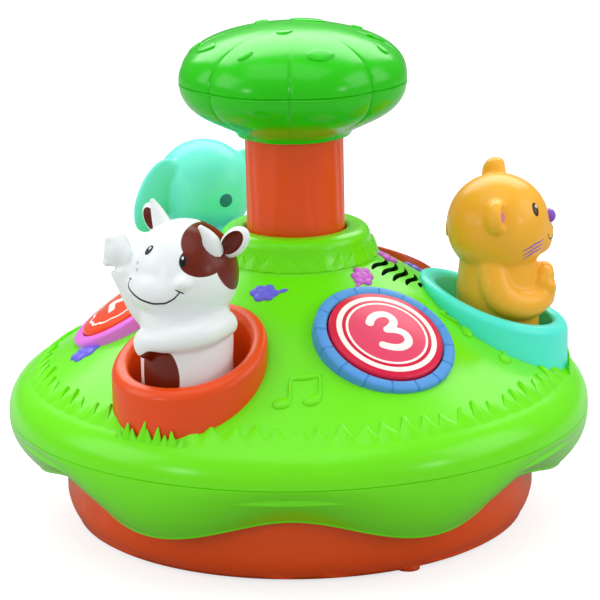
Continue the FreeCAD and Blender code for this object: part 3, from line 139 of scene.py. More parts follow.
# The ledge inside the skirt: its faces, its reach and its screw holes
LEDGE_TOP = 46.5
LEDGE_LOW = 44.1
LEDGE_INNER = 100.0
LEDGE_OUTER = 127.6
LEDGE_HOLE = 1.8
LEDGE_HOLE_RING = 103.6
LEDGE_FIRST_HOLE = -90.5

# The part of the trunk with bark grain
BARK_LOW = 135
BARK_HIGH = 173

# Embossed grass round the shoulder: its low edge, the valleys and the tips
GRASS_LOW = 121.0
GRASS_VALLEY = 116.6
GRASS_TIP = 108.8

# Blades in front of each cup
BLADE_HEIGHTS = (5.5, 8.0, 6.0, 10.0, 7.0, 8.5, 5.5, 7.5, 5.0)
BLADE_RING = 122.4
BLADE_PITCH = 3.9
BLADE_START = -14.5

# Gap between the dome's face and what is seated on it, and between a hole and the core that fills it
SEAT_GAP = 0.05
CORE_GAP = 0.3

# The knob's walls under and over its seam, and its leaves: radius, angle, half length, half width, turn
KNOB_WALLS = (1.8, 2.2)
LEAF_SHOULDER = 0.75
LEAVES = ((39.3, -163, 6.3, 4.4, 20), (39.3, -121, 3.9, 2.2, 60), (15.5, -103, 3.8, 2.9, 30),
          (38.5, -72, 6.2, 4.2, 0), (36.5, -3, 5.4, 2.6, 110), (14, 62, 8.0, 5.0, 10),
          (20, 132, 4.4, 3.2, 60), (43, 176, 3.8, 2.6, 100), (42, -22, 3.4, 2.4, 80), (44, 40, 5.6, 3.6, 15),
          (33, 85, 4.2, 2.6, 60), (43, 118, 5.8, 4.0, 30), (30, 20, 3.6, 2.6, 120))

# Flowers: radius, angle, turn, size and colour setting
FLOWERS = {
    "flower_left": (96.8, -166.0, 50.0, 1.0, "purple"),
    "flower_upper_left": (76.0, -172.5, 80.0, 0.8, "purple"),
    "flower_middle": (46.0, -108.0, -8.0, 0.82, "purple"),
    "flower_speaker": (41.2, -45.5, 195.0, 0.86, "lilac"),
    "flower_speaker_back": (40.5, 1.5, 100.0, 0.74, "lilac"),
    "flower_back_left": (100.0, 91.0, 40.0, 0.9, "purple"),
    "flower_back_right": (58.0, 22.0, 200.0, 0.75, "purple"),
    "flower_back": (46.0, 92.0, 100.0, 0.75, "lilac"),
}

# Notes: radius, angle, turn and whether they have a beam
NOTES = {
    "note_front": (95.0, -91.5, 0.0, True),
    "note_right": (96.0, -20.5, -20.0, True),
    "note_right_low": (76.0, -22.5, 15.0, False),
    "note_back": (95.0, 28.5, 10.0, True),
    "note_left": (96.0, 152.0, 0.0, True),
    "note_back_right": (80.0, 99.0, 30.0, False),
}

# Buttons: slots of ring and cap, and the painted bands as (outer radius, finish)
RING_SLOTS = {1: "brick_plastic", 2: "pink_plastic", 3: "blue_plastic"}
CAP_SLOTS = {1: "brick_plastic", 2: "orange_plastic", 3: "red_plastic"}
MOULDED, PRINTED, MIDDLE = range(3)
BANDS = {
    1: ((15.6, MIDDLE), (16.9, PRINTED), (20.2, MIDDLE), (21.6, PRINTED)),
    2: ((15.0, MIDDLE), (18.6, MIDDLE), (19.9, PRINTED)),
    3: ((17.2, MIDDLE), (18.3, PRINTED), (19.9, MOULDED), (22.3, PRINTED)),
}
BAND_WAVES = {1: 0.0, 2: 1.1, 3: 0.0}
CAP_BEVEL = 1.2
CAP_WALL = 1.7
STROKE = 1.9
NUMBER_STROKES = {
    1: (((-3.8, 5.2), (0.8, 8.8)), ((0.8, 8.8), (0.8, -8.8))),
    2: (((-5.6, 4.6), (-4.8, 9.6), (4.6, 10.8), (6.8, 4.0), (2.0, -1.0), (-5.6, -8.4)),
        ((-5.6, -8.4), (6.2, -8.4))),
    3: (((-5.4, 6.6), (-3.0, 10.4), (5.4, 10.6), (6.6, 3.4), (0.4, 1.0)),
        ((0.4, 1.0), (7.4, -0.4), (7.6, -8.2), (-0.6, -10.6), (-5.8, -6.6))),
}

# Softness of a painted spot's edge, as a share of its size
SPOT_EDGE = 0.015

# Half thickness of an eye and of its glint
EYE_THICK = 0.5
GLINT_THICK = 0.75

# The camera, in metres, fitted to the toy's ellipses
CAMERA_PLACE = (0, -1.3, 0.45515)
CAMERA_AIM = (0.00137, 0, 0.09717)
CAMERA_ROLL = -0.017


def linear(code):
    """The linear colour of a six-digit sRGB code."""
    values = []
    for place in (0, 2, 4):
        share = int(code[place:place + 2], 16) / 255
        values.append(share / 12.92 if share <= 0.04045 else ((share + 0.055) / 1.055) ** 2.4)
    return (*values, 1.0)


def tint(name, description, code):
    """A colour setting that starts at an sRGB code."""
    return FloatVectorProperty(name=name, description=description, subtype="COLOR", size=4, min=0.0, max=1.0,
                               default=linear(code))


class SpinnerColours(PropertyGroup):
    """Colours of the mouldings and prints, and the painted shade of the speaker slots."""

    lime: tint("Shell lime", "Dome and skirt", "74F00C")
    leaf: tint("Knob green", "The knob's two halves", "28CC05")
    # The slot walls' dark green is painted shade: it stands for the shade inside the speaker slots.
    slot_green: tint("Slot green", "Walls of the speaker slots", "14560A")
    trunk: tint("Trunk orange", "Trunk and base", "F5520C")
    cow_cup: tint("Cow cup", "Cup of the cow", "F04E0A")
    cat_cup: tint("Cat cup", "Cup of the cat", "54F6E0")
    elephant_cup: tint("Elephant cup", "Cup of the elephant", "8E6CF0")
    cow: tint("Cow white", "Body of the cow", "F4FAFA")
    patch: tint("Cow brown", "Patches of the cow", "6E1E06")
    cat: tint("Cat orange", "Body of the cat", "FFB830")
    elephant: tint("Elephant turquoise", "Body of the elephant", "70FAE0")
    plug: tint("Elephant plug", "Screw plug of the elephant", "1F7C88")
    ember: tint("Ember ring", "Ring of button 1", "C8400E")
    pink: tint("Pink ring", "Ring of button 2", "EC7AEA")
    blue: tint("Blue ring", "Ring of button 3", "529DE4")
    brick: tint("Brick button", "Cap of button 1", "C43C0C")
    orange: tint("Orange button", "Cap of button 2", "F84A0C")
    red: tint("Red button", "Cap of button 3", "E01C44")
    rose: tint("Rose disc", "Middle of button 3", "EC4A6C")
    print_white: tint("Print white", "Printed rings and numbers", "FFF8F4")
    purple: tint("Purple flowers", "Flowers on the dome", "7066EC")
    lilac: tint("Lilac flowers", "Flowers by the speaker", "D264D2")
    ink: tint("Face ink", "Eyes and mouths", "14181C")
    whisker: tint("Whisker purple", "Nose and whiskers of the cat", "8A50C8")


class SpinnerShapes(PropertyGroup):
    """Sizes and counts of the raised details."""

    grass_teeth: IntProperty(name="Grass teeth", description="Teeth round the shoulder", default=78, min=24)
    collar_teeth: IntProperty(name="Collar teeth", description="Teeth round the collar", default=28, min=12)
    grass_lift: FloatProperty(name="Grass lift", description="How far the grass stands off the shell",
                              default=1.7 * MM, min=0.0, unit="LENGTH")
    ring_grooves: IntProperty(name="Ring grooves", description="Grooves of the blue ring", default=16, min=0)
    bark_depth: FloatProperty(name="Bark depth", description="Depth of the trunk's upright grain",
                              default=0.35 * MM, min=0.0, unit="LENGTH")
    slot_count: IntProperty(name="Speaker slots", description="Wavy slots over the speaker", default=5, min=1)
    figure_grid: FloatProperty(name="Figure grid", description="Cell that blends an animal's lumps",
                               default=0.85 * MM, min=0.0005, unit="LENGTH")


class SpinnerStudio(PropertyGroup):
    """Camera and lamps."""

    lens: FloatProperty(name="Lens", description="Focal length for a 36 mm sensor", default=180.5, min=20.0)
    key_power: FloatProperty(name="Overhead lamp", description="Power of the large lamp above, in watts",
                             default=2.6, min=0.0, subtype="POWER")
    back_power: FloatProperty(name="Back lamp", description="Power of the wide lamp behind, in watts",
                              default=13.0, min=0.0, subtype="POWER")
    side_power: FloatProperty(name="Side lamps", description="Power of each wide lamp at the sides, in watts",
                              default=4.5, min=0.0, subtype="POWER")
    spot_power: FloatProperty(name="Round lamps", description="Power of each round lamp, in watts",
                               default=0.9, min=0.0, subtype="POWER")
    room_light: FloatProperty(name="Room light", description="Strength of the even light all round",
                              default=0.72, min=0.0)


def colours():
    return bpy.context.scene.spinner_colours


def shapes():
    return bpy.context.scene.spinner_shapes


# Small tools for modelling


def clear_selection():
    """Leaves edit mode with nothing selected and nothing active."""
    if bpy.context.mode != "OBJECT":
        bpy.ops.object.mode_set(mode="OBJECT")
    bpy.ops.object.select_all(action="DESELECT")
    bpy.context.view_layer.objects.active = None


def select_only(*pieces):
    """Selects these pieces, the first one active."""
    clear_selection()
    for piece in pieces:
        piece.select_set(True)
    bpy.context.view_layer.objects.active = pieces[0]


def named(name):
    """Names the active object and its mesh, and puts its place into its mesh."""
    piece = bpy.context.object
    piece.name = name
    piece.data.name = name
    bpy.ops.object.transform_apply(location=True, rotation=True, scale=True)
    return piece


def moved(piece, matrix):
    """Moves a piece by a matrix and puts its new place into its mesh."""
    select_only(piece)
    piece.matrix_world = matrix
    bpy.ops.object.transform_apply(location=True, rotation=True, scale=True)
    return piece


def copied(piece, name):
    """A copy of a piece with a mesh of its own."""
    twin = piece.copy()
    twin.data = piece.data.copy()
    twin.name = name
    twin.data.name = name
    bpy.context.scene.collection.objects.link(twin)
    return twin


def joined(name, pieces):
    """Joins pieces into the first one."""
    select_only(*pieces)
    if len(pieces) > 1:
        bpy.ops.object.join()
    return named(name)


def applied(piece, kind, **settings):
    """Adds a modifier, sets it up and applies it."""
    modifier = piece.modifiers.new(kind.title(), kind)
    for key, value in settings.items():
        setattr(modifier, key, value)
    select_only(piece)
    bpy.ops.object.modifier_apply(modifier=modifier.name)
    return piece


def carved(piece, cutter, operation="DIFFERENCE", transfer=False):
    """Cuts a piece with another, which is then removed."""
    applied(piece, "BOOLEAN", object=cutter, operation=operation, solver="EXACT",
            material_mode="TRANSFER" if transfer else "INDEX")
    bpy.data.objects.remove(cutter)
    return piece


@contextmanager
def editing(piece):
    """Edit mode with the whole of a piece selected."""
    select_only(piece)
    bpy.ops.object.mode_set(mode="EDIT")
    bpy.ops.mesh.select_all(action="SELECT")
    yield
    bpy.ops.object.mode_set(mode="OBJECT")


def outward(piece):
    """Merges doubles and turns all faces outwards."""
    with editing(piece):
        bpy.ops.mesh.remove_doubles(threshold=1e-6)
        bpy.ops.mesh.normals_make_consistent(inside=False)
    return piece


def smoothed(piece, degrees=35.0):
    """Smooth shading with crisp edges above an angle."""
    select_only(piece)
    bpy.ops.object.shade_smooth_by_angle(angle=math.radians(degrees))
    return piece


def rounded(corners, pieces=5):
    """An outline through (radius, height, round) corners, each round drawn as a short arc."""
    outline = []
    for index, (x, y, bend) in enumerate(corners):
        if not bend:
            outline.append((x, y))
            continue
        here = Vector((x, y))
        before = (Vector(corners[index - 1][:2]) - here).normalized()
        after = (Vector(corners[(index + 1) % len(corners)][:2]) - here).normalized()
        half = before.angle(after) / 2
        centre = here + (before + after).normalized() * (bend / math.sin(half))
        first = here + before * (bend / math.tan(half)) - centre
        last = here + after * (bend / math.tan(half)) - centre
        start = math.atan2(first.y, first.x)
        swing = (math.atan2(last.y, last.x) - start + math.pi) % math.tau - math.pi
        for step in range(pieces + 1):
            angle = start + swing * step / pieces
            outline.append((centre.x + bend * math.cos(angle), centre.y + bend * math.sin(angle)))
    return outline


def opened(piece, ends):
    """Takes the edge between two points out of a piece."""
    bpy.ops.object.mode_set(mode="EDIT")
    bpy.ops.mesh.select_mode(type="EDGE")
    bpy.ops.mesh.select_all(action="DESELECT")
    bpy.ops.object.mode_set(mode="OBJECT")
    for edge in piece.data.edges:
        edge.select = set(edge.vertices) == ends
    bpy.ops.object.mode_set(mode="EDIT")
    bpy.ops.mesh.delete(type="EDGE")
    bpy.ops.mesh.select_mode(type="VERT")
    bpy.ops.object.mode_set(mode="OBJECT")


def lathed(name, outline, steps=192, closed=True):
    """Spins an outline of (radius, height) points round the upright axis, faces outwards."""
    clear_selection()
    bpy.ops.mesh.primitive_circle_add(vertices=len(outline), radius=0.01)
    piece = named(name)
    for vertex, (radius, height) in zip(piece.data.vertices, outline):
        vertex.co = (radius * MM, 0.0, height * MM)
    if not closed:
        opened(piece, {0, len(outline) - 1})
    with editing(piece):
        bpy.ops.mesh.spin(steps=steps, angle=math.tau, center=(0, 0, 0), axis=(0, 0, 1))
    outward(piece)
    flow = sum(face.area * (face.normal.x * face.center.x + face.normal.y * face.center.y)
               for face in piece.data.polygons)
    if flow < 0:
        with editing(piece):
            bpy.ops.mesh.flip_normals()
    return piece


def reshaped(piece, change):
    """Moves each point by a rule on its radius, angle and height, in millimetres and radians."""
    for vertex in piece.data.vertices:
        radius = math.hypot(vertex.co.x, vertex.co.y) / MM
        angle = math.atan2(vertex.co.y, vertex.co.x)
        radius, angle, height = change(radius, angle, vertex.co.z / MM)
        vertex.co = (radius * math.cos(angle) * MM, radius * math.sin(angle) * MM, height * MM)
    piece.data.update()
    return piece


def rod(name, radius, low, high, sides=96):
    """An upright round bar for cutting."""
    clear_selection()
    bpy.ops.mesh.primitive_cylinder_add(vertices=sides, radius=radius * MM, depth=(high - low) * MM,
                                        location=(0, 0, (low + high) / 2 * MM))
    return named(name)


def lump(centre, size, turn=(0.0, 0.0, 0.0), name="lump", segments=40):
    """A ball stretched to three half sizes, turned by degrees about x, y and z."""
    clear_selection()
    bpy.ops.mesh.primitive_uv_sphere_add(segments=segments, ring_count=segments // 2, radius=1.0)
    piece = bpy.context.object
    piece.name = name
    piece.location = [value * MM for value in centre]
    piece.rotation_euler = [math.radians(value) for value in turn]
    piece.scale = [value * MM for value in size]
    return named(name)


def tube(name, points, radii):
    """A round tube through points, with a radius at each."""
    curve = bpy.data.curves.new(name, "CURVE")
    curve.dimensions = "3D"
    curve.bevel_depth = MM
    curve.bevel_resolution = 5
    curve.resolution_u = 10
    curve.use_fill_caps = True
    spline = curve.splines.new("NURBS")
    spline.points.add(len(points) - 1)
    for point, place, radius in zip(spline.points, points, radii):
        point.co = (*(value * MM for value in place), 1.0)
        point.radius = radius
    spline.order_u = 3
    spline.use_endpoint_u = True
    piece = bpy.data.objects.new(name, curve)
    bpy.context.scene.collection.objects.link(piece)
    select_only(piece)
    bpy.ops.object.convert(target="MESH")
    return outward(named(name))


def melted(piece, grid, rounds=8, factor=0.6):
    """Blends joined lumps into one skin on a fine grid and softens the creases."""
    applied(piece, "REMESH", mode="VOXEL", voxel_size=grid)
    applied(piece, "SMOOTH", factor=factor, iterations=rounds)
    select_only(piece)
    bpy.ops.object.shade_smooth()
    return piece


def turned(degrees, axis="Z"):
    """A turn by degrees about an axis."""
    return Matrix.Rotation(math.radians(degrees), 4, axis)


def shifted(x, y, z):
    """A shift by millimetres."""
    return Matrix.Translation((x * MM, y * MM, z * MM))


def ring_frame(angle, radius, height=0):
    """From axes that point outward and round the toy to the toy's own, at an angle, a radius and a height."""
    return turned(angle) @ shifted(radius, 0, height)


def dome_height(radius):
    """Height of the dome's outer face at a radius."""
    if radius < SHOULDER_EDGE:
        return SHOULDER_HEIGHT + (SHOULDER_EDGE - radius) * math.tan(CONE_SLOPE)
    reach = min(radius - SHOULDER_CENTRE, SHOULDER_BEND)
    return SEAM_HEIGHT + math.sqrt(SHOULDER_BEND ** 2 - reach ** 2)


def button_frame(number):
    """From a button's own axes, with its height along the dome's normal, to the toy's."""
    seat = ring_frame(BUTTON_ANGLES[number], BUTTON_RING, dome_height(BUTTON_RING))
    return seat @ Matrix.Rotation(CONE_SLOPE, 4, "Y")


def wrapped(piece, radius, angle, turn=0.0):
    """Lays a flat piece on the dome's cone: its x runs round the toy, its y uphill and its z off the face."""
    spin = turned(turn)
    for vertex in piece.data.vertices:
        flat = spin @ vertex.co / MM
        reach = radius - flat.y * math.cos(CONE_SLOPE)
        height = dome_height(reach) + flat.z * math.cos(CONE_SLOPE)
        reach += flat.z * math.sin(CONE_SLOPE)
        around = math.radians(angle) + flat.x / reach
        vertex.co = (reach * math.cos(around) * MM, reach * math.sin(around) * MM, height * MM)
    piece.data.update()
    return outward(piece)


def dome_space(name):
    """The space under the dome's outer face, as a cutter."""
    lift = SEAT_GAP / math.cos(CONE_SLOPE)
    top = dome_height(COLLAR_FOOT) + lift
    return lathed(name, [(0, 20), (140, 20), (140, SEAM_HEIGHT), (SHOULDER_EDGE, SHOULDER_HEIGHT + lift),
                         (COLLAR_FOOT, top), (0, top)])


def painted(piece, *finishes):
    """Gives a piece its finishes, in place of any that it has."""
    piece.data.materials.clear()
    for finish in finishes:
        piece.data.materials.append(finish)
    return piece


def kept(piece, body, slot, *finishes):
    """Gives a piece its body and its finishes: those given, those it has or its slot's."""
    if finishes or not any(piece.data.materials):
        painted(piece, *(finishes or [finish_for(slot)]))
    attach(piece, body)
    return piece


# Finishes


def fed(tree, node, inputs):
    """Sets a node's inputs, each to a plain value or to another node's output."""
    for place, value in inputs.items():
        if isinstance(value, bpy.types.NodeSocket):
            tree.links.new(value, node.inputs[place])
        else:
            node.inputs[place].default_value = value


def add_node(tree, kind, column, row, inputs, **settings):
    """A shader node at a column and a row of the tree."""
    node = tree.nodes.new("ShaderNode" + kind)
    node.location = (column * 220, row * -260)
    for key, value in settings.items():
        setattr(node, key, value)
    fed(tree, node, inputs)
    return node


def noise(tree, source, scale, detail, column, row):
    """A noise pattern on the piece's own coordinates."""
    inputs = {"Scale": scale, "Detail": detail, "Vector": source}
    return add_node(tree, "TexNoise", column, row, inputs).outputs["Fac"]


def blend_colours(tree, share, first, second, column, row):
    """Mixes two colours, each a plain value or another node's output."""
    return add_node(tree, "Mix", column, row, {0: share, 6: first, 7: second}, data_type="RGBA").outputs[2]


def scaled_colour(colour, share):
    """A colour made lighter or darker."""
    return (*(min(1.0, value * share) for value in colour[:3]), 1.0)


def ranged(tree, source, low, high, column, row):
    """Spreads a 0 to 1 pattern over a range."""
    inputs = {"To Min": low, "To Max": high, "Value": source}
    return add_node(tree, "MapRange", column, row, inputs).outputs["Result"]


def sums(tree, operation, first, second, column, row):
    """One sum of two values or outputs."""
    return add_node(tree, "Math", column, row, {0: first, 1: second}, operation=operation).outputs["Value"]


def bumped(tree, height, strength, distance, column, row, **below):
    """A bump from a height pattern, on top of another bump's normal if one is given."""
    inputs = {"Height": height, "Strength": strength, "Distance": distance, **below}
    return add_node(tree, "Bump", column, row, inputs).outputs["Normal"]


def spot_mask(tree, source, centre, size, turn, column, row):
    """1 inside a stretched ball on the piece's own coordinates, with a crisp edge."""
    inputs = {"Location": centre, "Rotation": (0, 0, turn), "Scale": size, "Vector": source}
    shift = add_node(tree, "Mapping", column, row, inputs, vector_type="TEXTURE")
    length = add_node(tree, "VectorMath", column + 1, row, {0: shift.outputs["Vector"]}, operation="LENGTH")
    inputs = {"From Min": 1 - SPOT_EDGE, "From Max": 1 + SPOT_EDGE, "To Min": 1.0, "To Max": 0.0,
              "Value": length.outputs["Value"]}
    return add_node(tree, "MapRange", column + 2, row, inputs).outputs["Result"]


def new_finish(name):
    """A new material with its tree, its shader and the piece's own coordinates."""
    finish = bpy.data.materials.new(name)
    finish.use_nodes = True
    tree = finish.node_tree
    place = add_node(tree, "TexCoord", -9, 0, {}).outputs["Object"]
    return finish, tree, tree.nodes["Principled BSDF"], place


def mottled(tree, share, colour, dark, light, column, row):
    """A colour that a pattern turns darker and lighter."""
    return blend_colours(tree, share, scaled_colour(colour, dark), scaled_colour(colour, light), column, row)


def plastic(name, colour, rough=0.26, mottle=0.04, coat=0.1, spots=(), spot_colour=None, streaks=0.0):
    """A moulded plastic: faint mottling, a fine skin texture, uneven gloss, and painted spots if asked."""
    finish, tree, shader, place = new_finish(name)
    cloud = noise(tree, place, 26.0, 3.0, -5, 0)
    base = mottled(tree, cloud, colour, 1 - mottle, 1 + mottle, -3, 0)
    mask = 0.0
    for index, (centre, size, turn) in enumerate(spots):
        spot = spot_mask(tree, place, centre, size, turn, -8, index + 3)
        mask = sums(tree, "MAXIMUM", mask, spot, -4, index + 3)
    if spots:
        paint = mottled(tree, cloud, spot_colour, 0.85, 1.2, -3, 2)
        base = blend_colours(tree, mask, base, paint, -1, 1)
    gloss = noise(tree, place, 70.0, 2.0, -5, 2)
    normal = bumped(tree, noise(tree, place, 850.0, 2.0, -5, 4), 0.05, 0.0002, -1, 3)
    if streaks:
        stretch = add_node(tree, "Mapping", -7, 5, {"Scale": (1.0, 1.0, 0.06), "Vector": place})
        bark = noise(tree, stretch.outputs["Vector"], 240.0, 4.0, -5, 5)
        normal = bumped(tree, bark, streaks, 0.0008, 0, 4, Normal=normal)
    roughness = ranged(tree, gloss, rough - 0.05, rough + 0.07, -2, 2)
    fed(tree, shader, {"Base Color": base, "Roughness": roughness, "Normal": normal,
                       "Specular IOR Level": 0.4, "Coat Weight": coat, "Coat Roughness": 0.16})
    return finish


def metal(name, colour, rough=0.3):
    """A plated or drawn steel with fine working marks."""
    finish, tree, shader, place = new_finish(name)
    cloud = noise(tree, place, 180.0, 4.0, -4, 0)
    marks = noise(tree, place, 1600.0, 2.0, -4, 2)
    fed(tree, shader, {
        "Base Color": mottled(tree, cloud, colour, 0.82, 1.08, -2, 0),
        "Metallic": 1.0, "Roughness": ranged(tree, cloud, rough - 0.08, rough + 0.12, -2, 1),
        "Normal": bumped(tree, marks, 0.08, 0.0001, -1, 2)})
    return finish


def finish_for(slot):
    """The finish of a material slot, made once."""
    title = "toy_" + slot
    if title in bpy.data.materials:
        return bpy.data.materials[title]
    paint = colours()
    mouldings = {
        "lime_plastic": (paint.lime, 0.24), "grass_plastic": (paint.leaf, 0.22),
        "trunk_plastic": (paint.trunk, 0.3), "cow_cup_plastic": (paint.cow_cup, 0.32),
        "cat_cup_plastic": (paint.cat_cup, 0.3),
        "elephant_cup_plastic": (paint.elephant_cup, 0.3), "red_plastic": (paint.red, 0.22),
        "orange_plastic": (paint.orange, 0.24), "brick_plastic": (paint.brick, 0.26),
        "blue_plastic": (paint.blue, 0.3), "pink_plastic": (paint.pink, 0.28),
        "cat_plastic": (paint.cat, 0.34), "elephant_plastic": (paint.elephant, 0.34),
        "cow_plug_plastic": (paint.patch, 0.4), "cat_plug_plastic": (scaled_colour(paint.cat, 0.8), 0.4),
        "elephant_plug_plastic": (paint.plug, 0.4), "inner_plastic": (linear("DADCD6"), 0.45),
        "bearing_plastic": (linear("EEEEE6"), 0.35), "door_plastic": (linear("DE4A12"), 0.4),
        "switch_plastic": (linear("FBD22A"), 0.35), "board_plastic": (linear("1E7A3C"), 0.4),
        "speaker_plastic": (linear("17191A"), 0.6), "foot_rubber": (linear("2A2A2C"), 0.75),
        "contact_rubber": (linear("6A6C70"), 0.7), "cell_jacket": (linear("8C3A8C"), 0.3),
    }
    steels = {"steel": linear("B8B8B4"), "ball_steel": linear("C8C8CC"), "spring_steel": linear("A8A8AA")}
    if slot in steels:
        return metal(title, steels[slot])
    colour, rough = mouldings[slot]
    return plastic(title, colour, rough, streaks=0.5 if slot == "trunk_plastic" else 0.0)


def note_named(name, colour, rough=0.3, **extra):
    """A finish that is not a slot of its own, made once."""
    if name in bpy.data.materials:
        return bpy.data.materials[name]
    return plastic(name, colour, rough, **extra)


# Shells


def dome_outline():
    """The dome's outer face, from the foot of the sleeve to the seam."""
    cone = [(radius, dome_height(radius)) for radius in (52.0, 68.0, 84.0, 100.0, 112.0)]
    # The last corner only shows the collar's foot which way the cone goes
    outline = rounded([(COLLAR_HOLE, SLEEVE_LOW, 0), (COLLAR_HOLE, COLLAR_HEIGHT, 1.9),
                       (COLLAR_RADIUS, COLLAR_HEIGHT, 4.9), (COLLAR_RADIUS + 0.1, COLLAR_WALL[1], 0),
                       (COLLAR_FOOT, dome_height(COLLAR_FOOT), 1.2), (58.0, dome_height(58.0), 0)],
                      pieces=6)[:-1]
    outline += cone
    for step in range(13):
        angle = (math.pi / 2 - CONE_SLOPE) * (1 - step / 12)
        outline.append((SHOULDER_CENTRE + SHOULDER_BEND * math.cos(angle),
                        SEAM_HEIGHT + 0.15 + SHOULDER_BEND * math.sin(angle)))
    outline.append((BODY_RADIUS - 0.5, SEAM_HEIGHT + 0.05))
    return outline


def speaker_cutter(index, finish):
    """One wavy slot over the speaker, as a cutter that gives the cut walls its finish: a dark green that is
    painted shade inside the slot.
    """
    half = SLOT_HALVES[index % len(SLOT_HALVES)]
    clear_selection()
    bpy.ops.mesh.primitive_grid_add(x_subdivisions=14, y_subdivisions=1, size=2.0)
    piece = named("speaker_slot_cutter")
    for vertex in piece.data.vertices:
        along = vertex.co.x
        width = SLOT_WIDTH * math.sqrt(max(0.0, 1.04 - along ** 2))
        middle = -SLOT_WAVE * math.sin(math.pi * along * 0.95)
        vertex.co = (along * half * MM, (middle + vertex.co.y * width) * MM, -SLOT_DEPTH * MM)
    with editing(piece):
        bpy.ops.mesh.extrude_region_move(TRANSFORM_OT_translate={"value": (0, 0, 2 * SLOT_DEPTH * MM)})
    piece.data.materials.append(finish)
    return wrapped(piece, SLOT_FIRST + SLOT_PITCH * index, SPEAKER_ANGLE + 6 + 2.2 * index)


class SPINNER_OT_dome(Operator):
    """Model the dome with its collar, cup holes, button holes and speaker slots"""

    bl_idname = "spinner.dome"
    bl_label = "Dome"

    def execute(self, context):
        dome = lathed("dome", dome_outline(), steps=256, closed=False)
        applied(dome, "SOLIDIFY", thickness=SHELL_WALL * MM, offset=-1.0, use_even_offset=True)
        painted(dome, finish_for("lime_plastic"))
        for angle in ANIMAL_ANGLES.values():
            carved(dome, moved(rod("cup_well", CUP_HOLE, 50, 140), ring_frame(angle, CUP_RING)))
        for number in BUTTON_ANGLES:
            carved(dome, moved(rod("button_well", BUTTON_HOLE, -16, 16), button_frame(number)))
        # The slot walls are painted dark green as painted shade inside the recesses.
        walls = note_named("slot_green", colours().slot_green, 0.5, coat=0.0)
        for index in range(shapes().slot_count):
            carved(dome, speaker_cutter(index, walls), transfer=True)
        kept(smoothed(dome, 30), "carousel", "lime_plastic")
        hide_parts("dome_shell")
        return {"FINISHED"}


def skirt_point(radius, angle, height):
    """Turns a plain ring's point into the skirt's: below zero the height is the share of the drop."""
    swing = math.cos(HEM_LOBES * (angle - math.radians(HEM_ANGLE)))
    hem = HEM_HEIGHT - HEM_WAVE * swing
    low_radius = HEM_RADIUS + HEM_SWELL * swing
    drop = min(-height, 1.0)
    spare = max(-height - 1.0, 0.0) * 10
    inset = SKIRT_MARK - radius
    reach = low_radius + (BODY_RADIUS - low_radius) * (1 - drop ** (1.9 + 0.5 * swing)) - inset
    return reach, angle, SEAM_HEIGHT - drop * (SEAM_HEIGHT - hem - HEM_ROUND) - spare


class SPINNER_OT_skirt(Operator):
    """Model the skirt with its six-lobed hem and inner ledge"""

    bl_idname = "spinner.skirt"
    bl_label = "Skirt"

    def execute(self, context):
        inside = SKIRT_MARK - SKIRT_WALL
        outline = [(SKIRT_MARK - 0.6, -0.002), (SKIRT_MARK, -0.02)]
        outline += [(SKIRT_MARK, -step / 40) for step in range(2, 41)]
        for step in range(1, 8):
            angle = math.pi * step / 8
            outline.append((SKIRT_MARK - HEM_ROUND + HEM_ROUND * math.cos(angle),
                            -1.0 - HEM_ROUND / 10 * math.sin(angle)))
        outline += [(inside, -step / 20) for step in range(20, 0, -1)]
        outline.append((inside, -0.002))
        skirt = reshaped(lathed("skirt", outline, steps=288), skirt_point)
        ledge = lathed("skirt_ledge", [(LEDGE_INNER, LEDGE_TOP), (LEDGE_OUTER, LEDGE_TOP),
                                       (LEDGE_OUTER, LEDGE_LOW), (LEDGE_INNER, LEDGE_LOW)])
        for index in range(6):
            hole = rod("ledge_hole", LEDGE_HOLE, 40, 50, 24)
            carved(ledge, moved(hole, ring_frame(60.0 * index + LEDGE_FIRST_HOLE, LEDGE_HOLE_RING)))
        skirt = smoothed(outward(joined("skirt", [skirt, ledge])), 32)
        kept(skirt, "carousel", "lime_plastic")
        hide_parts("lower_shell")
        return {"FINISHED"}


def tooth(angle, count, lean=0.0):
    """A pointed blade's rise at an angle, uneven from blade to blade."""
    place = angle / math.tau * count
    index = math.floor(place)
    share = place - index
    peak = 0.5 + lean + 0.12 * math.sin(index * 2.3)
    rise = share / peak if share < peak else (1 - share) / (1 - peak)
    return rise ** 1.15 * (0.84 + 0.16 * math.sin(index * 1.7 + 1.0))


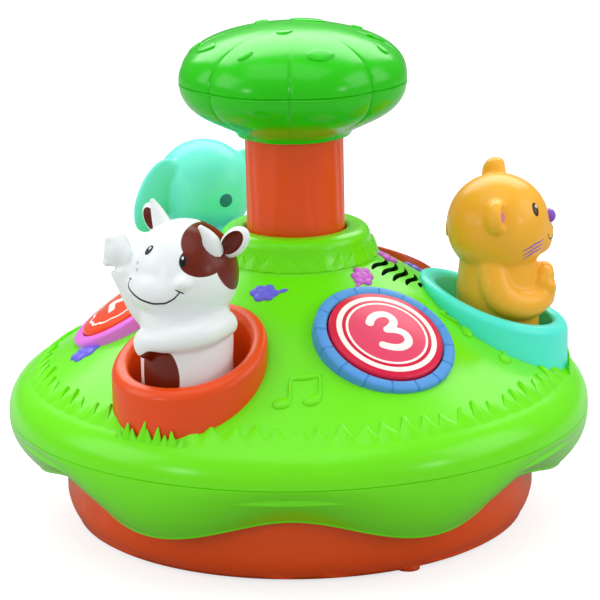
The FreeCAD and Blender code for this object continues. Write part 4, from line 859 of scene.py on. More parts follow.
class SPINNER_OT_grass(Operator):
    """Model the embossed grass round the shoulder and the collar, and the blades in front of the cups"""

    bl_idname = "spinner.grass"
    bl_label = "Grass"

    def execute(self, context):
        self.shoulder()
        self.collar()
        for animal, angle in ANIMAL_ANGLES.items():
            self.blades(animal, angle)
        return {"FINISHED"}

    def shoulder(self):
        lift = shapes().grass_lift / MM
        teeth = shapes().grass_teeth

        def raised(radius, angle, height):
            share = max(0.0, min(1.0, (GRASS_LOW - radius) / (GRASS_LOW - GRASS_VALLEY)))
            rise = tooth(angle % math.tau, teeth)
            reach = radius - (GRASS_VALLEY - GRASS_TIP) * share ** 2 * rise
            if height > 0:
                height *= 0.12 + 0.88 * rise
            return (reach + height * math.sin(CONE_SLOPE), angle,
                    dome_height(reach) + height * math.cos(CONE_SLOPE))

        outline = [(GRASS_LOW, -0.6), (GRASS_LOW, 0.0), (GRASS_VALLEY + 2.2, lift * 0.75),
                   (GRASS_VALLEY + 0.9, lift), (GRASS_VALLEY + 0.1, lift * 0.85), (GRASS_VALLEY - 0.2, -0.6)]
        ring = outward(reshaped(lathed("shoulder_grass", outline, steps=teeth * 8), raised))
        for angle in ANIMAL_ANGLES.values():
            carved(ring, moved(rod("grass_well", CUP_RIM + 0.05, 40, 110), ring_frame(angle, CUP_RING)))
        kept(smoothed(ring, 25), "carousel", "lime_plastic")

    def collar(self):
        teeth = shapes().collar_teeth
        low, high, band_height, mark = 118.9, 127.0, 2.9, 50.0

        def raised(radius, angle, height):
            share = max(0.0, min(1.0, (height - low) / band_height))
            peak = tooth(angle % math.tau, teeth, 0.1)
            rise = height + (high - low - 3.0) * share * peak
            foot, head = COLLAR_WALL
            wall = COLLAR_FOOT + (COLLAR_RADIUS + 0.1 - COLLAR_FOOT) * (rise - foot) / (head - foot)
            out = radius - mark
            return wall + (out * (0.3 + 0.7 * peak) if out > 0 else out), angle, rise

        outline = [(mark, low), (mark + 0.9, low + 0.4), (mark + 1.2, low + 1.6), (mark + 1.0, low + 2.6),
                   (mark - 0.4, low + band_height), (mark - 0.6, low)]
        ring = outward(reshaped(lathed("collar_grass", outline, steps=teeth * 10), raised))
        kept(smoothed(ring, 25), "carousel", "lime_plastic")

    def blades(self, animal, angle):
        blades = []
        for index, height in enumerate(BLADE_HEIGHTS):
            clear_selection()
            bpy.ops.mesh.primitive_cone_add(vertices=20, radius1=2.9 * MM, radius2=0.3 * MM,
                                            depth=height * MM, location=(0, 0, (height / 2 - 1.5) * MM))
            blade = named("blade")
            lean = 0.22 * math.sin(index * 2.6)
            for vertex in blade.data.vertices:
                vertex.co.y += lean * max(0.0, vertex.co.z)
                vertex.co.x = vertex.co.x * 0.42 - 0.05 * max(0.0, vertex.co.z)
            around = (index * BLADE_PITCH + BLADE_START) / 122.5
            seat = ring_frame(angle + math.degrees(around), BLADE_RING, dome_height(BLADE_RING))
            blades.append(moved(blade, seat @ turned(-4, "Y")))
        clump = smoothed(joined(animal + "_cup_grass", blades), 60)
        kept(clump, "carousel", "lime_plastic")


def flower_blank(name):
    """A flat, cloud-like flower with a leaf and a pressed swirl, ready to be laid on the dome."""
    petals = []
    for index in range(6):
        angle = math.tau * index / 6 + 0.3
        reach = 4.2 + 0.6 * math.sin(index * 2.1)
        petals.append(lump((reach * 1.25 * math.cos(angle), reach * 0.85 * math.sin(angle), 0.1),
                           (3.0, 2.7, 1.5), segments=24))
    petals.append(lump((0, 0, 0.2), (5.2, 3.9, 1.55), segments=28))
    petals.append(lump((9.2, 3.6, 0.0), (3.0, 1.3, 1.1), (0, 0, 30), segments=20))
    flower = melted(joined(name, petals), 0.4 * MM, 5)
    for vertex in flower.data.vertices:
        x, y = vertex.co.x / MM, vertex.co.y / MM
        radius = math.hypot(x, y * 1.3)
        spiral = math.sin(math.atan2(y, x) + radius * 1.5)
        if vertex.co.z > 0 and radius < 6.0:
            vertex.co.z -= 0.35 * MM * max(0.0, spiral) ** 3
    return flower


def note_blank(name, beamed):
    """A flat music note with one head, or two heads and a beam."""
    parts = [lump((-3.6, -4.2, 0.1), (3.3, 2.4, 1.2), (0, 0, 20), segments=24)]
    bars = [((-0.9, 1.2, 0.1), (0.75, 6.2, 0.9), 0)]
    if beamed:
        parts.append(lump((6.3, -3.0, 0.1), (3.3, 2.4, 1.2), (0, 0, 20), segments=24))
        bars.append(((8.9, 2.4, 0.1), (0.75, 6.2, 0.9), 0))
        bars.append(((4.0, 7.2, 0.1), (5.8, 1.5, 1.0), 7))
    else:
        bars.append(((1.2, 5.4, 0.1), (3.0, 1.1, 0.9), -28))
    for centre, size, turn in bars:
        parts.append(lump(centre, size, (0, 0, turn), segments=20))
    return melted(joined(name, parts), 0.45 * MM, 4)


class SPINNER_OT_reliefs(Operator):
    """Model the raised flowers and music notes on the dome"""

    bl_idname = "spinner.reliefs"
    bl_label = "Flowers and notes"

    def execute(self, context):
        blank = flower_blank("flower_blank")
        for name, (radius, angle, turn, size, colour) in FLOWERS.items():
            flower = moved(copied(blank, name), Matrix.Diagonal((size, size, 0.8, 1.0)))
            wrapped(flower, radius, angle, turn)
            finish = note_named(colour + "_paint", getattr(colours(), colour), 0.34, mottle=0.12)
            kept(smoothed(flower, 60), "carousel", "lime_plastic", finish)
        bpy.data.objects.remove(blank)
        for name, (radius, angle, turn, beamed) in NOTES.items():
            note = moved(note_blank(name, beamed), Matrix.Diagonal((1.3, 1.3, 1.15, 1.0)))
            wrapped(note, radius, angle, turn)
            kept(smoothed(note, 60), "carousel", "lime_plastic")
        return {"FINISHED"}


# Base, trunk and knob


class SPINNER_OT_base(Operator):
    """Give the base ring and its feet a smooth skin"""

    bl_idname = "spinner.base"
    bl_label = "Base"

    def execute(self, context):
        for node, body, slot in (("base_ring", "base", "trunk_plastic"), ("base_feet", "base", "foot_rubber"),
                                 ("chassis", "carousel", "inner_plastic"),
                                 ("battery_door", "door", "door_plastic")):
            piece = copied(frame["nodes"][node], node + "_skin")
            for key in list(piece.keys()):
                del piece[key]
            piece.parent = None
            outward(piece)
            finish = finish_for(slot)
            if node in ("base_ring", "base_feet"):
                finish = note_named("base_plastic", colours().trunk, 0.3)
            kept(smoothed(piece, 28), body, slot, finish)
            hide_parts(node)
        return {"FINISHED"}


class SPINNER_OT_trunk(Operator):
    """Model the trunk with its upright bark grain"""

    bl_idname = "spinner.trunk"
    bl_label = "Trunk"

    def execute(self, context):
        depth = shapes().bark_depth / MM
        heights = [TRUNK_LOW, 134.0, 138.0] + [142.0 + 4.0 * step for step in range(8)] + [173.5, TRUNK_HIGH]
        outline = [(TRUNK_RADIUS, height) for height in heights]
        outline += [(TRUNK_RADIUS - TRUNK_WALL, TRUNK_HIGH), (TRUNK_RADIUS - TRUNK_WALL, TRUNK_LOW)]

        def bark(radius, angle, height):
            if radius < TRUNK_RADIUS - 0.5 or not BARK_LOW <= height <= BARK_HIGH:
                return radius, angle, height
            bend = 1.4 * math.sin(5 * angle + height * 0.05)
            grain = 0.5 + 0.5 * math.sin(19 * angle + 0.035 * height + bend)
            return radius - depth * grain, angle, height

        trunk = reshaped(lathed("bark_trunk", outline, steps=288), bark)
        kept(smoothed(trunk, 40), "plunger", "trunk_plastic")
        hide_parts("trunk")
        return {"FINISHED"}


def lobed(radius, angle, height):
    """Scallops a round point into one of the knob's lobes."""
    groove = CROWN_GROOVE * min(1.0, (radius / CROWN_RADIUS) ** 2)
    if groove < 0.02 or (radius < 25.0 and height < CROWN_SEAM - 5):
        return radius, angle, height
    pitch = math.tau / CROWN_LOBES
    place = (angle - math.radians(CROWN_FIRST)) % pitch - pitch / 2
    low = radius - groove
    turn = math.cos(pitch / 2)
    offset = (low ** 2 - radius ** 2) / (2 * (low * turn - radius))
    bend = radius - offset
    reach = offset * math.cos(place) + math.sqrt(bend ** 2 - (offset * math.sin(place)) ** 2)
    notch = max(0.0, 1 - (pitch / 2 - abs(place)) / 0.022)
    return reach - 0.5 * notch * min(1.0, (radius / 40) ** 2), angle, height


def knob_under():
    """The lower half's outer outline, swelling from the lip to the seam."""
    swell = ((0.0, 0.0), (0.1, 0.08), (0.25, 0.36), (0.4, 0.63), (0.57, 0.83), (0.79, 0.96), (1.0, 1.0))
    lip = TRUNK_RADIUS + 3.4
    outline = []
    for step in range(57):
        part = step / 56
        span = max(index for index in range(6) if swell[index][0] <= part + 1e-9)
        before, first, second, after = (swell[max(span - 1, 0)], swell[span], swell[span + 1],
                                        swell[min(span + 2, 6)])
        share = (part - first[0]) / (second[0] - first[0])
        rise_in = (second[1] - before[1]) / (second[0] - before[0]) * (second[0] - first[0])
        rise_out = (after[1] - first[1]) / (after[0] - first[0]) * (second[0] - first[0])
        square, cube = share ** 2, share ** 3
        reach = ((2 * cube - 3 * square + 1) * first[1] + (cube - 2 * square + share) * rise_in
                 + (3 * square - 2 * cube) * second[1] + (cube - square) * rise_out)
        outline.append((lip + (CROWN_RADIUS - lip) * min(reach, 1.0),
                        CROWN_LOW + (CROWN_SEAM - CROWN_LOW) * part))
    outline = [point for point in outline if point[1] < CROWN_SEAM - 0.9]
    return outline + [(CROWN_RADIUS, CROWN_SEAM - 0.6), (CROWN_RADIUS - 0.55, CROWN_SEAM - 0.02)]


def knob_over():
    """The upper half's outer outline, from the seam to the pole."""
    outline = [(CROWN_RADIUS - 0.55, CROWN_SEAM + 0.02), (CROWN_RADIUS, CROWN_SEAM + 0.6)]
    for step in range(3, 57):
        part = math.sin(math.pi / 2 * step / 56)
        outline.append((CROWN_RADIUS * math.sqrt(max(0.0, 1 - part ** 2.3)),
                        CROWN_SEAM + (CROWN_TOP - CROWN_SEAM) * part))
    outline[-1] = (0.0, CROWN_TOP)
    return outline


class SPINNER_OT_knob(Operator):
    """Model the lobed knob's two halves and the raised leaves on top"""

    bl_idname = "spinner.knob"
    bl_label = "Knob"

    def execute(self, context):
        lip = TRUNK_RADIUS + 0.05
        under = [(lip, 188.0), (lip, CROWN_LOW + 0.4), (TRUNK_RADIUS + 0.5, CROWN_LOW)]
        halves = []
        for name, outline, wall in (("knob_under", under + knob_under(), KNOB_WALLS[0]),
                                    ("knob_over", knob_over(), KNOB_WALLS[1])):
            half = reshaped(lathed(name, outline, steps=400, closed=False), lobed)
            applied(half, "SOLIDIFY", thickness=wall * MM, offset=-1.0)
            halves.append(kept(smoothed(half, 16), "plunger", "grass_plastic"))
        lower, upper = halves
        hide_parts("crown_bottom")
        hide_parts("crown_top")
        skin = skin_of(upper)
        pieces = []
        for radius, angle, half, width, turn in LEAVES:
            around = math.radians(angle)
            above = Vector((radius * math.cos(around), radius * math.sin(around), 260)) * MM
            place, normal, face, distance = skin.ray_cast(above, Vector((0, 0, -1)))
            blade = lump((0, 0, 0), (half, width, 1.25), name="knob_leaf", segments=36)
            for vertex in blade.data.vertices:
                vertex.co.y *= 1 - 0.35 * max(0.0, vertex.co.x / MM / half)
                over = vertex.co.z / MM - LEAF_SHOULDER
                if over > 0:
                    vertex.co.z = (LEAF_SHOULDER + over * 0.35) * MM
            lean = normal.to_track_quat("Z", "Y").to_matrix().to_4x4()
            seat = Matrix.Translation(place - normal * 0.1 * MM) @ lean
            pieces.append(moved(blade, seat @ turned(turn)))
        kept(smoothed(joined("knob_leaves", pieces), 40), "plunger", "grass_plastic")
        return {"FINISHED"}


# Cups and buttons


def rim_top(reach):
    """Height of a cup's rim at a distance from the toy's middle."""
    return 96.5 - 0.36 * (reach - CUP_RING) + 0.0021 * (reach - CUP_RING) ** 2


class SPINNER_OT_cups(Operator):
    """Model the three cups with their thick, slanting rims"""

    bl_idname = "spinner.cups"
    bl_label = "Cups"

    def execute(self, context):
        mark = 100.0
        seat = ring_frame(0, CUP_RING)
        outline = rounded([(0, CUP_FLOOR, 0), (CUP_INNER, CUP_FLOOR, 1.5), (CUP_INNER, mark, 2.8),
                           (CUP_RIM, mark, 3.8), (CUP_RIM, 61.0, 0), (CUP_HOLE - CORE_GAP, CUP_LOW, 0),
                           (0, CUP_LOW, 0)], pieces=8)
        blank = lathed("cup_blank", outline, steps=144)
        for vertex in blank.data.vertices:
            if vertex.co.z > (mark - 12) * MM:
                vertex.co.z += (rim_top(CUP_RING + vertex.co.x / MM) - mark) * MM
        space = carved(dome_space("cup_seat"), moved(rod("cup_core", CUP_HOLE - CORE_GAP, 40, 160), seat))
        carved(moved(blank, seat), space)
        for animal, angle in ANIMAL_ANGLES.items():
            cup = moved(copied(blank, animal + "_cup"), turned(angle))
            kept(smoothed(cup, 30), "carousel", animal + "_cup_plastic")
            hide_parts(animal + "_pocket")
        bpy.data.objects.remove(blank)
        return {"FINISHED"}


CAP_REACH = BUTTON_RADIUS - CAP_BEVEL
CAP_BEND = (CAP_REACH ** 2 + (CAP_CROWN - CAP_EDGE) ** 2) / (2 * (CAP_CROWN - CAP_EDGE))


def cap_height(radius):
    """Height of a button cap's crown at a radius."""
    return CAP_CROWN - (CAP_BEND - math.sqrt(CAP_BEND ** 2 - radius ** 2))


def cap_finishes(number):
    """The moulding, the white print and the middle of a button."""
    paint = colours()
    moulded = finish_for(CAP_SLOTS[number])
    middle = {1: note_named("brick_middle", scaled_colour(paint.brick, 1.25), 0.26), 2: moulded,
              3: note_named("rose_middle", paint.rose, 0.24)}[number]
    return [moulded, note_named("print_white", paint.print_white, 0.3, mottle=0.01), middle]


def band_finish(bands, radius):
    """The finish of a cap's top at a radius."""
    for outer, finish in bands:
        if radius < outer:
            return finish
    return MOULDED


def printed_cap(number):
    """A button cap whose top is painted in bands, with a scalloped band if it has a wave."""
    bands = BANDS[number]
    wave = BAND_WAVES[number]
    reaches = [0.0, *(outer for outer, finish in bands), CAP_REACH]
    outline = []
    for inner, outer in zip(reaches, reaches[1:]):
        for step in range(4):
            radius = inner + (outer - inner) * step / 4
            outline.append((radius, cap_height(radius)))
    for step in range(7):
        angle = math.pi / 2 * (1 - step / 6)
        outline.append((CAP_REACH + CAP_BEVEL * math.cos(angle),
                        CAP_EDGE - CAP_BEVEL + CAP_BEVEL * math.sin(angle)))
    outline.append((BUTTON_RADIUS, -CAP_SKIRT))
    cap = lathed("button_%d" % number, outline, steps=192, closed=False)
    applied(cap, "SOLIDIFY", thickness=CAP_WALL * MM, offset=-1.0)
    painted(cap, *cap_finishes(number))
    for face in cap.data.polygons:
        radius = math.hypot(face.center.x, face.center.y) / MM
        face.material_index = MOULDED if face.normal.z < 0.6 else band_finish(bands, radius)
    if wave:
        low, high = bands[1][0] - 2.2, bands[2][0] + 2.2

        def scalloped(radius, angle, height):
            if low < radius < high and height > 2:
                share = 1 - abs(radius - (low + high) / 2) / ((high - low) / 2)
                radius += wave * min(1.0, share * 1.6) * abs(math.cos(7 * angle))
            return radius, angle, height

        reshaped(cap, scalloped)
    return cap


def printed_number(number):
    """A white number in round strokes that follows the cap's crown."""
    strokes = []
    middle = cap_height(5.0)
    for path in NUMBER_STROKES[number]:
        points = [(x, y, middle) for x, y in path]
        strokes.append(tube("stroke", points, [STROKE] * len(points)))
        strokes += [lump(end, (STROKE, STROKE, STROKE), segments=24) for end in (points[0], points[-1])]
    digit = melted(joined("number_%d" % number, strokes), 0.3 * MM, 2)
    moved(digit, turned(90))
    reaches = [0.0, 4.0, 8.0, 12.0, 16.0, 20.0]
    lens = [(radius, cap_height(radius) + 0.12) for radius in reaches]
    lens += [(radius, cap_height(radius) - 0.3) for radius in reversed(reaches)]
    return carved(digit, lathed("number_lens", lens, steps=96), "INTERSECT")


def button_ring(number, grooves):
    """A button's ring with the cup below it, the blue one with grooves across its top."""
    outline = rounded([(BUTTON_INNER, -HOUSING_DEPTH + 2, 0), (BUTTON_INNER, BEZEL_RISE, 0.9),
                       (BEZEL_RADIUS, BEZEL_RISE, 1.6), (BEZEL_RADIUS, -7.0, 0),
                       (BUTTON_HOLE - CORE_GAP, -7.2, 0), (BUTTON_HOLE - CORE_GAP, -HOUSING_DEPTH, 0),
                       (0.0, -HOUSING_DEPTH, 0),
                       (0.0, -HOUSING_DEPTH + 2, 0)])
    ring = lathed("button_ring_%d" % number, outline, steps=20 * max(grooves, 8))
    if number == 3 and grooves:

        def grooved(radius, angle, height):
            share = (angle / math.tau * grooves) % 1.0
            if min(share, 1 - share) < 0.02 and height > 0.2 and radius > BUTTON_INNER + 0.3:
                return radius - (0.45 if radius > BEZEL_RADIUS - 0.8 else 0.0), angle, height - 0.5
            return radius, angle, height

        reshaped(ring, grooved)
    frame_here = button_frame(number)
    core = moved(rod("ring_core", BUTTON_HOLE - CORE_GAP, -30, 30), frame_here)
    return carved(moved(ring, frame_here), carved(dome_space("ring_seat"), core))


class SPINNER_OT_buttons(Operator):
    """Model the three buttons with their rings, painted caps and numbers"""

    bl_idname = "spinner.buttons"
    bl_label = "Buttons"

    def execute(self, context):
        for number, slot in RING_SLOTS.items():
            ring = button_ring(number, shapes().ring_grooves)
            ember = [note_named("ember_ring", colours().ember, 0.28)] if number == 1 else []
            kept(smoothed(ring, 30), "carousel", slot, *ember)
            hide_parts("button_housing_%d" % number)
            body = "button_%d" % number
            stem = painted(rod("stem", 3.4, -8.0, 3.0, 32), cap_finishes(number)[MOULDED])
            cap = moved(joined(body, [printed_cap(number), stem]), button_frame(number))
            kept(smoothed(cap, 40), body, CAP_SLOTS[number])
            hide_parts("button_cap_%d" % number)
            digit = moved(printed_number(number), button_frame(number))
            kept(smoothed(digit, 30), body, CAP_SLOTS[number], cap_finishes(number)[PRINTED])
        return {"FINISHED"}


# Animals, modelled facing +X with z as the toy's height, then set on their ring


def seat_on(skin, place):
    """The point and normal of an animal's skin beyond a place, as seen from the middle of its head."""
    middle = Vector((0, 0, HEAD_HEIGHT)) * MM
    way = (Vector(place) * MM).normalized()
    point, normal, face, distance = skin.ray_cast(middle + way * 90 * MM, -way)
    return point, normal


def face_disc(skin, place, across, tall, thick, tilt=0.0, aside=(0.0, 0.0), name="face_disc"):
    """A thin lens laid on an animal's skin."""
    point, normal = seat_on(skin, place)
    up = Vector((0, math.sin(math.radians(tilt)), math.cos(math.radians(tilt))))
    right = up.cross(normal).normalized()
    up = normal.cross(right).normalized()
    lean = Matrix((right, up, normal)).transposed().to_4x4()
    disc = lump((*aside, 0), (across, tall, thick), segments=28, name=name)
    return moved(disc, Matrix.Translation(point) @ lean)


def eyes_on(skin, animal, eyes, finish):
    """An animal's eyes and their glints, from (place, eye's halves, tilt, glint's halves, glint's offset)."""
    discs = []
    glints = []
    for place, halves, tilt, glint, aside in eyes:
        discs.append(face_disc(skin, place, *halves, EYE_THICK, tilt))
        glints.append(face_disc(skin, place, *glint, GLINT_THICK, tilt, aside))
    white = note_named("eye_glint", linear("FFFFFF"), 0.15, mottle=0.0)
    return [painted(joined(animal + "_eyes", discs), finish),
            painted(joined(animal + "_glints", glints), white)]


def face_line(skin, places, thick):
    """A thin painted line that follows an animal's skin through places."""
    points = []
    for first, second in zip(places, places[1:]):
        for step in range(4):
            point, normal = seat_on(skin, Vector(first).lerp(Vector(second), step / 4))
            points.append((point - normal * 0.12 * MM) / MM)
    point, normal = seat_on(skin, places[-1])
    points.append(point / MM)
    last = len(points) - 1
    return tube("face_line", points, [thick * (0.55 + 0.45 * math.sin(math.pi * index / last))
                                      for index in range(len(points))])


def skin_of(piece):
    """A search tree of a piece's surface."""
    return BVHTree.FromObject(piece, bpy.context.evaluated_depsgraph_get())


def set_figure(animal, pieces):
    """Sets an animal's pieces on its ring and makes them ride on its body."""
    for piece in pieces:
        moved(piece, ring_frame(ANIMAL_ANGLES[animal], FIGURE_RING))
        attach(piece, animal)
    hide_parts(animal + "_front", animal + "_back")


def torso(radius):
    """Torso and head of an animal, as lumps to be melted together."""
    outline = rounded([(0, FIGURE_FLOOR, 0), (radius, FIGURE_FLOOR, 1.5), (radius, 92.0, 0),
                       (radius + 0.4, 103.0, 0), (radius - 1.2, 116.0, 0), (0, 124.0, 0)])
    return [lathed("torso", outline, steps=96),
            lump((0, 0, HEAD_HEIGHT), (HEAD_RADIUS, HEAD_RADIUS, HEAD_RADIUS), segments=72)]


def figure_spots(animal, places):
    """Painted spots in the toy's axes, from (place, half sizes) from the middle of an animal's head."""
    to_toy = ring_frame(ANIMAL_ANGLES[animal], FIGURE_RING, HEAD_HEIGHT)
    turn = math.radians(ANIMAL_ANGLES[animal])
    return [(to_toy @ (Vector(place) * MM), [value * MM for value in size], turn) for place, size in places]


def ink_finish():
    """The ink of eyes and mouths."""
    return note_named("face_ink", colours().ink, 0.3, mottle=0.02, coat=0.4)


class SPINNER_OT_cow(Operator):
    """Model the cow with its patches, raised hoof, folded arm, ears, horns and face"""

    bl_idname = "spinner.cow"
    bl_label = "Cow"

    def execute(self, context):
        lift = HEAD_HEIGHT
        parts = torso(COW_BODY) + [
            lump((12.0, -1.2, lift - 3.6), (13.4, 18.2, 11.6), (8, 0, 0)),
            tube("folded_arm", [(-4, 18.4, 111.5), (8, 18.6, 110), (17, 12.5, 108.6), (21.0, 4.5, 107.2),
                                (20.8, -3.5, 106.0)], (5.6, 6.0, 5.8, 5.4, 5.2)),
            lump((20.2, -6.6, 104.6), (5.6, 5.6, 7.0), (0, 0, -20)),
            tube("raised_arm", [(0, -13.5, 107), (6, -16.5, 113), (9.5, -20.0, 122), (11.0, -24.6, 133)],
                 (6.4, 6.0, 5.4, 5.4)),
            lump((11.0, -26.0, lift + 9.4), (6.2, 5.4, 8.0), (16, 0, 0)),
            *(lump((12.6, -29.4 + row * 0.6, lift + 4.2 + row * 3.5), (4.2, 3.0, 2.2)) for row in range(4)),
            lump((19.9, 12.6, lift + 1.6), (4.0, 3.6, 3.2)),
        ]
        crest = self.crest(lift)
        cow = melted(joined("cow_figure", parts), shapes().figure_grid, 7)
        patches = figure_spots("cow", [
            ((1.0, 16.4, 16.2), (18.0, 12.4, 11.0)), ((10.0, 15.8, 9.6), (11.6, 9.0, 6.8)),
            ((-5.0, 20.0, 6.0), (13.0, 8.0, 12.0)), ((-13.0, 12.0, 16.0), (12.0, 13.0, 11.0)),
            ((19.6, -2.0, -41.5), (8.5, 10.2, 16.0)), ((-21.0, -9.0, -34.0), (8.0, 9.5, 12.0)),
            ((-19.0, -12.0, 2.0), (9.0, 9.0, 7.0)),
        ])
        painted(cow, plastic("cow_paint", colours().cow, 0.3, mottle=0.02, spots=patches,
                             spot_colour=colours().patch))
        skin = skin_of(cow)
        smile = [face_line(skin, [(18.4, -14.4, -0.4), (18.8, -13.6, -2.6), (22.0, -10.0, -4.6),
                                  (24.0, -5.6, -6.6), (25.2, 0.4, -8.0), (24.6, 6.0, -7.4),
                                  (22.8, 9.4, -5.0), (20.6, 11.0, -2.2)], 0.5),
                 face_line(skin, [(17.4, -15.6, -0.2), (19.4, -12.8, 0.2)], 0.42),
                 face_line(skin, [(21.2, 9.4, -0.8), (20.0, 12.6, -2.6)], 0.42)]
        ink = ink_finish()
        pieces = [cow, joined("cow_crest", crest), painted(joined("cow_smile", smile), ink)]
        pieces += eyes_on(skin, "cow", [((18.0, -5.5, 13.2), (1.5, 2.5), 24, (0.55, 1.0), (0.2, 0.9)),
                                        ((17.4, 10.9, 10.3), (1.6, 2.7), 8, (0.55, 0.9), (-0.2, 1.0))], ink)
        # Two faint grey discs at the nostrils: painted shade of the nostril dimples.
        dots = [face_disc(skin, place, 0.9, 0.8, 0.25) for place in ((18.4, -10.6, 7.2), (19.6, -10.4, 4.6))]
        grey = note_named("nostril_grey", linear("C9D0D4"), 0.4)
        pieces.append(painted(joined("cow_nostrils", dots), grey))
        set_figure("cow", pieces)
        return {"FINISHED"}

    def crest(self, lift):
        plain = note_named("cow_plain", colours().cow, 0.3, mottle=0.02)
        brown = note_named("ear_brown", colours().patch, 0.36)
        crest = []
        for path in (((0.6, -8.5, 15), (1.6, -11.0, 24), (2.6, -13.4, 29.8)),
                     ((3, 16.0, 12), (6, 18.4, 18), (9.0, 14.6, 23.0))):
            points = [(x, y, lift + z) for x, y, z in path]
            horn = tube("horn", points, (4.8, 3.7, 1.2))
            tip = lump(points[-1], (1.2, 1.2, 1.2), segments=20)
            crest.append(painted(smoothed(joined("horn", [horn, tip]), 60), plain))
        for aside, height, lean, size in ((-16.4, 20.8, 30, 0.86), (23.6, 15.4, -46, 1.0)):
            ear = lump((-2.6, aside, lift + height), (3.8 * size, 5.4 * size, 8.6 * size), (lean, 0, 0),
                       segments=56)
            dish = lump((1.6 * size, aside * 1.02, lift + height + 0.5), (4.2 * size, 4.2 * size, 7.2 * size),
                        (lean, 0, 0), segments=56)
            crest.append(smoothed(carved(painted(ear, plain), painted(dish, brown), transfer=True), 40))
        return crest


class SPINNER_OT_cat(Operator):
    """Model the cat with its clasped paws, ears, nose and whiskers"""

    bl_idname = "spinner.cat"
    bl_label = "Cat"

    def execute(self, context):
        lift = HEAD_HEIGHT
        parts = torso(SMALL_BODY)
        parts.append(lump((14.0, 0, lift - 3.5), (10.6, 12.5, 10.5), (0, 12, 0)))
        parts.append(lump((17.0, 0, lift - 7.0), (7.0, 9.5, 6.6)))
        for side in (-1, 1):
            parts += [
                tube("sleeve", [(-4, side * 11.0, 119), (-3, side * 15.5, 111), (0, side * 17.5, 102),
                                (9, side * 16.0, 97.5), (17.5, side * 8.5, 98.0), (20.5, side * 2.0, 99.5)],
                     (6.0, 7.0, 7.4, 7.0, 6.2, 5.6)),
                lump((20.4, side * 4.0, 108.6), (4.8, 4.4, 4.6)),
                lump((21.6, side * 3.4, 102.6), (4.4, 4.2, 5.0)),
                *(lump((18.2 + row * 2.6, side * 7.6, 106.6 - row * 1.6), (1.9, 2.6, 3.4), (0, 30, 0))
                  for row in range(3)),
            ]
        for ear, dish in (
                (((-1.8, -20.6, lift + 8.2), (5.2, 7.0, 8.2), (-46, 0, 0)),
                 ((3.6, -22.6, lift + 8.8), (4.4, 5.4, 5.8), (-46, 0, 0))),
                (((-0.6, 15.4, lift + 19.4), (6.2, 6.6, 8.8), (28, 0, 0)),
                 ((5.4, 16.2, lift + 20.2), (3.8, 4.6, 6.2), (28, 0, 0)))):
            parts.append(carved(lump(*ear), lump(*dish)))
        cat = melted(joined("cat_figure", parts), shapes().figure_grid, 7)
        dishes = figure_spots("cat", [((1.0, -23.0, 9.2), (1.5, 2.6, 3.4)),
                                      ((3.2, 16.4, 20.6), (1.5, 3.0, 4.0))])
        painted(cat, plastic("cat_paint", colours().cat, 0.3, mottle=0.03, spots=dishes,
                             spot_colour=linear("DC8AA8")))
        skin = skin_of(cat)
        purple = note_named("whisker_purple", colours().whisker, 0.3)
        brown = note_named("cat_eye_brown", linear("3A1606"), 0.25, coat=0.4)
        eyes = eyes_on(skin, "cat", [((15.8, side * 13.4, 9.8), (1.7, 3.1), side * -10, (0.6, 1.0), (0.3, 1.2))
                                     for side in (-1, 1)], brown)
        nose = painted(face_disc(skin, (23.0, 0, 3.8), 3.6, 3.2, 3.0, name="cat_nose"), purple)
        mouth = [face_line(skin, [(22.6, 0, -0.4), (22.6, 0, -2.6)], 0.34)]
        whiskers = []
        for side in (-1, 1):
            mouth.append(face_line(skin, [(22.6, 0, -2.6), (22.2, side * 3.2, -5.2), (21.4, side * 6.6, -5.0),
                                          (20.8, side * 8.2, -2.6)], 0.34))
            for row in range(3):
                low = -2.2 * row
                line = [(19.8, side * 11.0, -4.4 + low), (15.6, side * 15.8, -5.2 + low),
                        (10.2, side * (19.3 - 1.3 * row), -7.6 + low)]
                whiskers.append(face_line(skin, line, 0.42))
        set_figure("cat", [cat, *eyes, nose, painted(joined("cat_mouth", mouth), ink_finish()),
                           painted(joined("cat_whiskers", whiskers), purple)])
        return {"FINISHED"}


